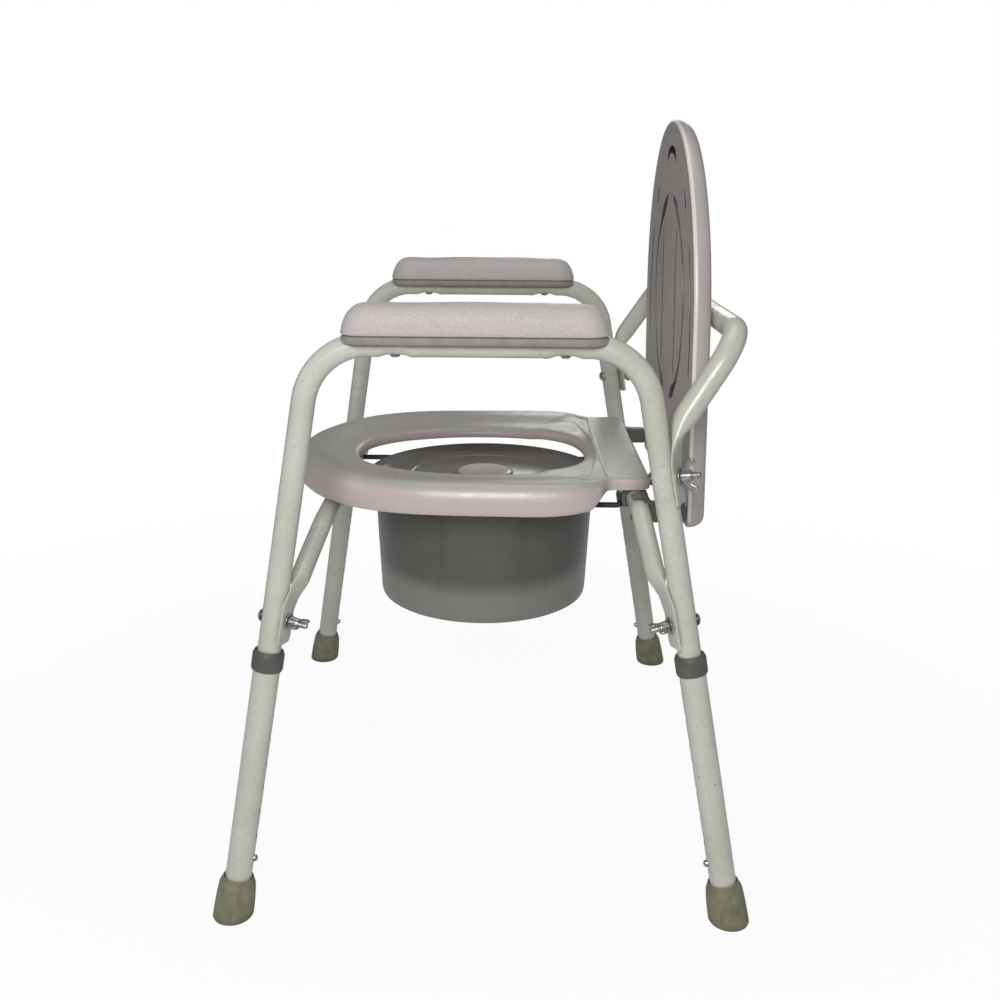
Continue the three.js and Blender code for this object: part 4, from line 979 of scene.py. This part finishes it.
# clips on the rear crossbar: a C saddle with a raised rib, a neck and a T plate
clip = to_object("clip", slab(c_ring(BAR_R + 0.6, BAR_R + 4.2, -math.pi / 2, 0.95), 133, 140.5, along_x(REAR_BAR_Y, REAR_BAR_Z), 0.6))
boolean(clip, [slab(fillet([[-13, 16.5, 1], [-8, 16.5, 2], [-5, 11.5, 0], [5, 11.5, 0], [6, 16.5, 1], [7.5, 16.5, 0.5], [7.5, 20.1, 0.6], [-18, 20.1, 0.6], [-18, 16.5, 1]], 4), 133, 140.5, along_x(REAR_BAR_Y, REAR_BAR_Z), 0.5)], "UNION")
boolean(clip, [slab(c_ring(BAR_R + 1.9, BAR_R + 3.0, -math.pi / 2, 1.1), 139.9, 141.5, along_x(REAR_BAR_Y, REAR_BAR_Z), 0.2, 2)])
pair("seat_clip", clip, ("seat", "seat"), CLIP, 40)
rest = to_object("rest", slab(fillet([[-9, 10.3, 1], [-4, 10, 0], [4, 10, 0], [9, 10.3, 1], [9, 30.6, 1.4], [-9, 34.2, 1.4]], 4), 24, 42, along_x(FRONT_BAR_Y, FRONT_BAR_Z), 1.2))
boolean(rest, [rod(V(20, FRONT_BAR_Y, FRONT_BAR_Z), V(46, FRONT_BAR_Y, FRONT_BAR_Z), BAR_R + 0.5, 64)])
pair("seat_rest", rest, ("seat", "seat"), CLIP, 40)

# ---- lid ----
LH, LN = unit(V(0, -LID_TILT, 1)), unit(V(0, -1, -LID_TILT))
LID_O = V(0, LID_FACE_Y, REAR_BAR_Z)


def lid_at(x, h, w):
    """x across, h up the panel, w out of its front face."""
    return LID_O + np.outer(x, V(1, 0, 0)) + np.outer(h, LH) + np.outer(w, LN)


def lid_outline():
    r, top = 16.0, 178.0
    pts = []
    for k in range(9):
        a = math.radians(-90 + 90 * k / 8)
        pts.append((LID_HALF - r + r * math.cos(a), LID_FOOT_H + r + r * math.sin(a)))
    for k in range(1, 12):
        pts.append((LID_HALF, LID_FOOT_H + r + (top - LID_FOOT_H - r) * k / 12))
    for k in range(97):
        a = math.pi * k / 96
        pts.append((LID_HALF * math.cos(a), top + (LID_TOP_H - top) * math.sin(a)))
    for k in range(11, 0, -1):
        pts.append((-LID_HALF, LID_FOOT_H + r + (top - LID_FOOT_H - r) * k / 12))
    for k in range(9):
        a = math.radians(180 + 90 * k / 8)
        pts.append((-LID_HALF + r + r * math.cos(a), LID_FOOT_H + r + r * math.sin(a)))
    base = []
    for k in range(1, 16):
        base.append((-LID_HALF + r + (2 * LID_HALF - 2 * r) * k / 16, LID_FOOT_H))
    return np.array(pts + base)


LO = lid_outline()
tan = np.roll(LO, -1, 0) - np.roll(LO, 1, 0)
tan /= np.linalg.norm(tan, axis=1, keepdims=True)
LNIN = np.stack([-tan[:, 1], tan[:, 0]], 1)


def lid_ring(inset, w):
    q = LO + LNIN * inset
    return lid_at(q[:, 0], q[:, 1], np.full(len(q), w))


lid_rings = [lid_ring(*q) for q in (
    (15.2, -LID_T + 1.2), (14.6, -LID_T + 1.1), (13.8, -LID_T + 0.5), (13.0, -LID_T + 0.1), (12.2, -LID_T), (10.6, -LID_T), (8.2, -LID_T + 0.5), (5.8, -LID_T + 1.8), (3.6, -LID_T + 3.9), (1.9, -LID_T + 6.5),
    (0.75, -8.6), (0.2, -6.0), (0.0, -3.6), (0.08, -2.2), (0.45, -1.1), (1.1, -0.35), (2.0, 0.0), (5.2, 0.0), (7.0, -0.12), (9.0, -0.5), (11.0, -0.85), (13.4, -1.0), (15.2, -1.0))]
lid = to_object("lid_tmp", skin(lid_rings))


def groove(pts, width, depth, w0=-1.0):
    """Cutter for one groove: pts [x, h] along it, width and depth as functions of the share along it."""
    c = np.array(spline(pts, 8))
    seg = np.concatenate([[0], np.cumsum(np.linalg.norm(np.diff(c, axis=0), axis=1))])
    n = max(12, int(seg[-1] / 4))
    s = np.linspace(0, seg[-1], n)
    c = np.stack([np.interp(s, seg, c[:, 0]), np.interp(s, seg, c[:, 1])], 1)
    t = np.gradient(c, axis=0)
    t /= np.linalg.norm(t, axis=1, keepdims=True)
    nn = np.stack([-t[:, 1], t[:, 0]], 1)
    rings = []
    for k in range(n):
        f = s[k] / seg[-1]
        w, dp = width(f) / 2, depth(f)
        q = [(-w * 1.35, 0.9), (-w, 0.0), (-w * 0.82, -dp * 0.62), (-w * 0.45, -dp * 0.95), (w * 0.45, -dp * 0.95), (w * 0.82, -dp * 0.62), (w, 0.0), (w * 1.35, 0.9)]
        rings.append(np.vstack([lid_at([c[k, 0] + nn[k, 0] * u], [c[k, 1] + nn[k, 1] * u], [w0 + e]) for u, e in q]))
    return skin(rings)


ends = lambda f, a=0.12: float(smooth(f / a) * smooth((1 - f) / a))
tools = []
for s in (1, -1):
    tools.append(groove([[s * x, h_] for x, h_ in ((89, 309), (98, 296), (106, 282))], lambda f: 0.8 + 6.6 * ends(f, 0.3), lambda f: 0.3 + 3.2 * ends(f, 0.3)))
    tools.append(groove([[s * x, h_] for x, h_ in ((124, 262), (136, 240), (145, 213), (150, 185), (150, 155), (147, 118))], lambda f: 0.8 + 6.4 * ends(f), lambda f: 0.3 + 2.9 * ends(f)))
    tools.append(groove([[s * x, h_] for x, h_ in ((14, 299), (38, 287), (62, 271), (84, 250), (97, 230), (103, 205), (103, 182), (97, 155), (83, 126), (56, 101), (20, 84))],
                        lambda f: 0.8 + ends(f, 0.05) * (6.8 + 7.5 * math.exp(-((f - 0.12) / 0.075) ** 2) + 6.5 * math.exp(-((f - 0.93) / 0.06) ** 2)),
                        lambda f: 0.3 + ends(f, 0.05) * (3.4 + 2.6 * math.exp(-((f - 0.12) / 0.09) ** 2) + 2.2 * math.exp(-((f - 0.93) / 0.07) ** 2))))
    tools.append(groove([[s * 47, 268], [s * 47, 190], [s * 46, 108]], lambda f: 0.8 + 6.4 * ends(f, 0.05), lambda f: 0.3 + 2.9 * ends(f, 0.05)))
carve(lid, tools)
slot = fillet([[-33, 335, 1], [-32, 331.6, 1.5], [-28, 333.3, 1]], 3, closed=False)
slot = [[-33.2, 334.2], [-32.6, 332.0], [-30, 332.2]] + [[x, 341.5 - 8.6 * (abs(x) / 28) ** 2] for x in np.linspace(-26, 26, 15)] + [[30, 332.2], [32.6, 332.0], [33.2, 334.2]] \
    + [[31 * math.cos(a), 335.5 + 13.6 * math.sin(a)] for a in np.linspace(0.12, math.pi - 0.12, 21)]
carve(lid, [slab(slot, -LID_T - 8, 8, lambda p, q, t_: lid_at(p, q, t_), 0.01, 1)])
piece("lid", lid, "lid", LID, 30)
face_to = Vector(LN)
for f in lid.data.polygons:       # the flat of the panel stays flat between its grooves
    f.use_smooth = abs(f.normal.dot(face_to)) < 0.99995

lug = to_object("lug", slab(c_ring(BAR_R + 0.6, BAR_R + 4.2, math.pi, 0.95), 163.5, 177, along_x(REAR_BAR_Y, REAR_BAR_Z), 0.7))
carve(lug, [slab(fillet([[11.4, -14, 1], [47.0, -14, 2.5], [46.6, 4, 2.5], [30, 4, 3], [11.4, 6, 1]], 5), 163.5, 177, along_x(REAR_BAR_Y, REAR_BAR_Z), 0.9)], "UNION")
pair("lid_hinge", lug, ("lid", "lid"), SHADED_LUG, 40)

# ---- pail and its lid ----
PC = V(0, PAIL_Y, 0)
F = PAIL_FOOT_Z
prof = fillet([[0, F + 1.2, 0], [96, F + 1.2, 0], [99, F + 0.1, 1], [PAIL_FOOT_R - 5.5, F + 0.1, 3], [PAIL_FOOT_R - 1.0, F + 3.0, 3], [PAIL_FOOT_R + 0.0, F + 9, 4],
               [PAIL_TOP_R - 0.35, PAIL_RIM_Z - 9, 1], [PAIL_TOP_R + 0.5, PAIL_RIM_Z - 7.5, 0.8], [PAIL_TOP_R + 0.6, PAIL_RIM_Z - 0.6, 1.2], [PAIL_TOP_R + 3, PAIL_RIM_Z, 1], [133.6, PAIL_RIM_Z, 0.8], [134.9, PAIL_RIM_Z + 0.8, 0.8], [134.9, PAIL_RIM_Z + 2.3, 0.6], [134.2, PAIL_RIM_Z + 2.6, 0.4],
               [PAIL_TOP_R - 1.2, PAIL_RIM_Z + 2.6, 1.0], [PAIL_TOP_R - 2.5, PAIL_RIM_Z + 1, 1.0], [PAIL_FOOT_R - 2.5, F + 10, 4], [PAIL_FOOT_R - 4.2, F + 5, 3], [PAIL_FOOT_R - 9, F + 2.9, 3], [0, F + 2.9, 0]], 5, closed=False)
pail = to_object("pail_tmp", turned([list(q) for q in prof], PC, V(0, 0, 1), 144))
for s in (1, -1):                 # side wings of the rim with a turned-down lip
    def arc(r0, r1, half, s=s):
        a = np.linspace(-half, half, 36)
        return [[s * r1 * math.cos(k), r1 * math.sin(k)] for k in a] + [[s * r0 * math.cos(k), r0 * math.sin(k)] for k in a[::-1]]
    at = lambda p, q, t_: np.stack([p, PAIL_Y + q, t_], 1)
    boolean(pail, [slab(arc(130.5, PAIL_WING_R - 0.1, PAIL_WING_HALF - 0.005), PAIL_RIM_Z + 0.05, PAIL_RIM_Z + 2.55, at, 0.7, 3)], "UNION")
    boolean(pail, [slab(arc(PAIL_WING_R - 2.6, PAIL_WING_R - 0.15, PAIL_WING_HALF - 0.01), PAIL_LIP_Z + 1.2, PAIL_RIM_Z + 1.5, at, 0.4, 2)], "UNION")
    boolean(pail, [slab(arc(PAIL_WING_R - 3.0, PAIL_WING_R, PAIL_WING_HALF), PAIL_LIP_Z, PAIL_LIP_Z + 2.6, at, 0.7, 3)], "UNION")
# the mould's parting line, a hairline rib down the wall
for s in (1, -1):
    a0 = -0.115
    seam = []
    for z in np.linspace(F + 12, PAIL_RIM_Z - 9, 14):
        r = PAIL_FOOT_R + (PAIL_TOP_R - PAIL_FOOT_R) * (z - F - 9) / (PAIL_RIM_Z - F - 9)
        ax = V(s * math.cos(a0), math.sin(a0), 0)
        ay = V(-s * math.sin(a0), math.cos(a0), 0)
        seam.append(np.array([PC + ax * (r - 0.9) - ay * 0.35 + V(0, 0, z), PC + ax * (r + 0.05) - ay * 0.25 + V(0, 0, z), PC + ax * (r + 0.16) + V(0, 0, z), PC + ax * (r + 0.05) + ay * 0.25 + V(0, 0, z), PC + ax * (r - 0.9) + ay * 0.35 + V(0, 0, z)]))
    boolean(pail, [skin(seam)], "UNION")
piece("pail", pail, "pail", PAIL, 35, flat=True)

LZ = PAIL_RIM_Z + 2.6 + GAP
prof = fillet([[0, LZ - 1.5, 0], [117.6, LZ - 1.5, 0.5], [118.6, LZ - 1.0, 0.4], [118.6, LZ + 0.01, 0.2], [132.6, LZ + 0.01, 0.5], [133.7, LZ + 0.8, 0.6], [133.6, LZ + 2.6, 1.6], [130.5, LZ + 4.8, 3], [126, LZ + 5.4, 3],
               [119, LZ + 4.3, 4], [113, LZ + 2.2, 4], [108, LZ + 1.3, 3], [84, LZ + 1.5, 1], [82.6, LZ + 0.8, 0.6], [81, LZ + 0.8, 0.6], [79.6, LZ + 1.5, 1], [36, LZ + 1.7, 1], [33.2, LZ + 1.7, 0.9], [31.6, LZ + 4.2, 1.2], [28.4, LZ + 5.2, 2], [24, LZ + 4.9, 3], [10, LZ + 4.3, 4], [0, LZ + 4.2, 0]], 5, closed=False)
piece("pail_lid", to_object("pail_lid_tmp", turned([list(q) for q in prof], PC, V(0, 0, 1), 144)), "pail_lid", PAIL_LID, 35)

# ---- floor, light and camera ----
floor_mat = Mat("floor")
tone = floor_mat.mix(floor_mat.span(floor_mat.noise(900, 3), 0.3, 0.7), (0.86, 0.86, 0.86, 1), (0.89, 0.89, 0.885, 1))
floor_mat.bump(floor_mat.noise(4, 3), 0.05, 0.2)
floor_mat.done(tone, 0.85)
# away from the chair the floor runs out into the white of the backdrop
ft = floor_mat.t
far = ft.nodes.new("ShaderNodeVectorMath")
far.operation = "LENGTH"
ft.links.new(floor_mat.co, far.inputs[0])
glow, both = ft.nodes.new("ShaderNodeEmission"), ft.nodes.new("ShaderNodeMixShader")
glow.inputs[0].default_value, glow.inputs[1].default_value = (1, 1, 1, 1), 1.0
seen = ft.nodes.new("ShaderNodeLightPath")
ft.links.new(floor_mat.math("MULTIPLY", floor_mat.span(far.outputs["Value"], 0.25, 1.3, 0.93, 1.0), seen.outputs["Is Camera Ray"]), both.inputs[0])
ft.links.new(floor_mat.b.outputs[0], both.inputs[1])
ft.links.new(glow.outputs[0], both.inputs[2])
ft.links.new(both.outputs[0], floor_mat.out.inputs[0])
me = bpy.data.meshes.new("floor")
S = 60.0
me.from_pydata([(-S, -S, 0), (S, -S, 0), (S, S, 0), (-S, S, 0)], [], [(0, 1, 2, 3)])
me.materials.append(floor_mat.m)
floor = bpy.data.objects.new("floor", me)
SCENE.collection.objects.link(floor)
# the floor drops to the lowest foot when the legs are let out
drop = floor.driver_add("location", 2).driver
drop.type = "SCRIPTED"
for k, leg in enumerate(("leg_front_left", "leg_front_right", "leg_rear_left", "leg_rear_right")):
    var = drop.variables.new()
    var.name = f"z{k}"
    var.type = "TRANSFORMS"
    var.targets[0].id = frame["bodies"][leg]
    var.targets[0].transform_type = "LOC_Z"
    var.targets[0].transform_space = "WORLD_SPACE"
drop.expression = "min(z0, z1, z2, z3, 0) - 0.0003"


def area(name, place, target, size, power, color=(1, 1, 1)):
    light = bpy.data.lights.new(name, "AREA")
    light.shape, light.size, light.size_y = "RECTANGLE", size[0], size[1]
    light.energy, light.color = power, color
    o = bpy.data.objects.new(name, light)
    SCENE.collection.objects.link(o)
    o.location = place
    o.rotation_mode = "QUATERNION"
    o.rotation_quaternion = (Vector(target) - Vector(place)).to_track_quat("-Z", "Y")
    return o


area("key", (1.5, -0.1, 1.05), (0.1, 0, 0.38), (0.6, 0.45), 15)
area("top", (-0.25, 0.15, 2.2), (0, 0, 0.3), (1.2, 1.2), 8)
area("rim", (0.3, 1.9, 0.9), (0.1, 0.1, 0.4), (0.4, 1.2), 1.3)
area("far", (-1.8, 0.35, 1.05), (0, 0, 0.38), (0.7, 0.4), 3)
area("front", (0.5, -1.8, 1.25), (0, 0.1, 0.45), (0.7, 0.7), 3.5)

world = bpy.data.worlds.new("world")
SCENE.world = world
world.use_nodes = True
wn = world.node_tree
wn.nodes.clear()
wo, wa, wb = wn.nodes.new("ShaderNodeOutputWorld"), wn.nodes.new("ShaderNodeBackground"), wn.nodes.new("ShaderNodeBackground")
wm, wp = wn.nodes.new("ShaderNodeMixShader"), wn.nodes.new("ShaderNodeLightPath")
wa.inputs[0].default_value, wa.inputs[1].default_value = (1, 1, 1, 1), 0.15
wb.inputs[0].default_value, wb.inputs[1].default_value = (1, 1, 1, 1), 1.0
wn.links.new(wp.outputs["Is Camera Ray"], wm.inputs[0])
wn.links.new(wa.outputs[0], wm.inputs[1])
wn.links.new(wb.outputs[0], wm.inputs[2])
wn.links.new(wm.outputs[0], wo.inputs[0])

SCENE.view_settings.view_transform = "Standard"
SCENE.view_settings.look = "None"
SCENE.view_settings.exposure = 0.0
SCENE.view_settings.gamma = 1.0

cam_data = bpy.data.cameras.new("camera")
cam = bpy.data.objects.new("camera", cam_data)
SCENE.collection.objects.link(cam)
SCENE.camera = cam
cam_data.sensor_width = 36.0
cam_data.lens = 1138.57 * 36 / 1000
cam_data.shift_x, cam_data.shift_y = 0.00974, -0.0009
cam_data.clip_start, cam_data.clip_end = 0.05, 200
right, up, fwd = Vector((-0.0083, 0.9999, 0.0079)), Vector((-0.2826, -0.0100, 0.9592)), Vector((-0.9592, -0.0057, -0.2827))
back = -fwd.normalized()
right = (right - back * right.dot(back)).normalized()
up = back.cross(right)
cam.matrix_world = Matrix(((right.x, up.x, back.x, 1.2631), (right.y, up.y, back.y, 0.0118), (right.z, up.z, back.z, 0.711), (0, 0, 0, 1)))
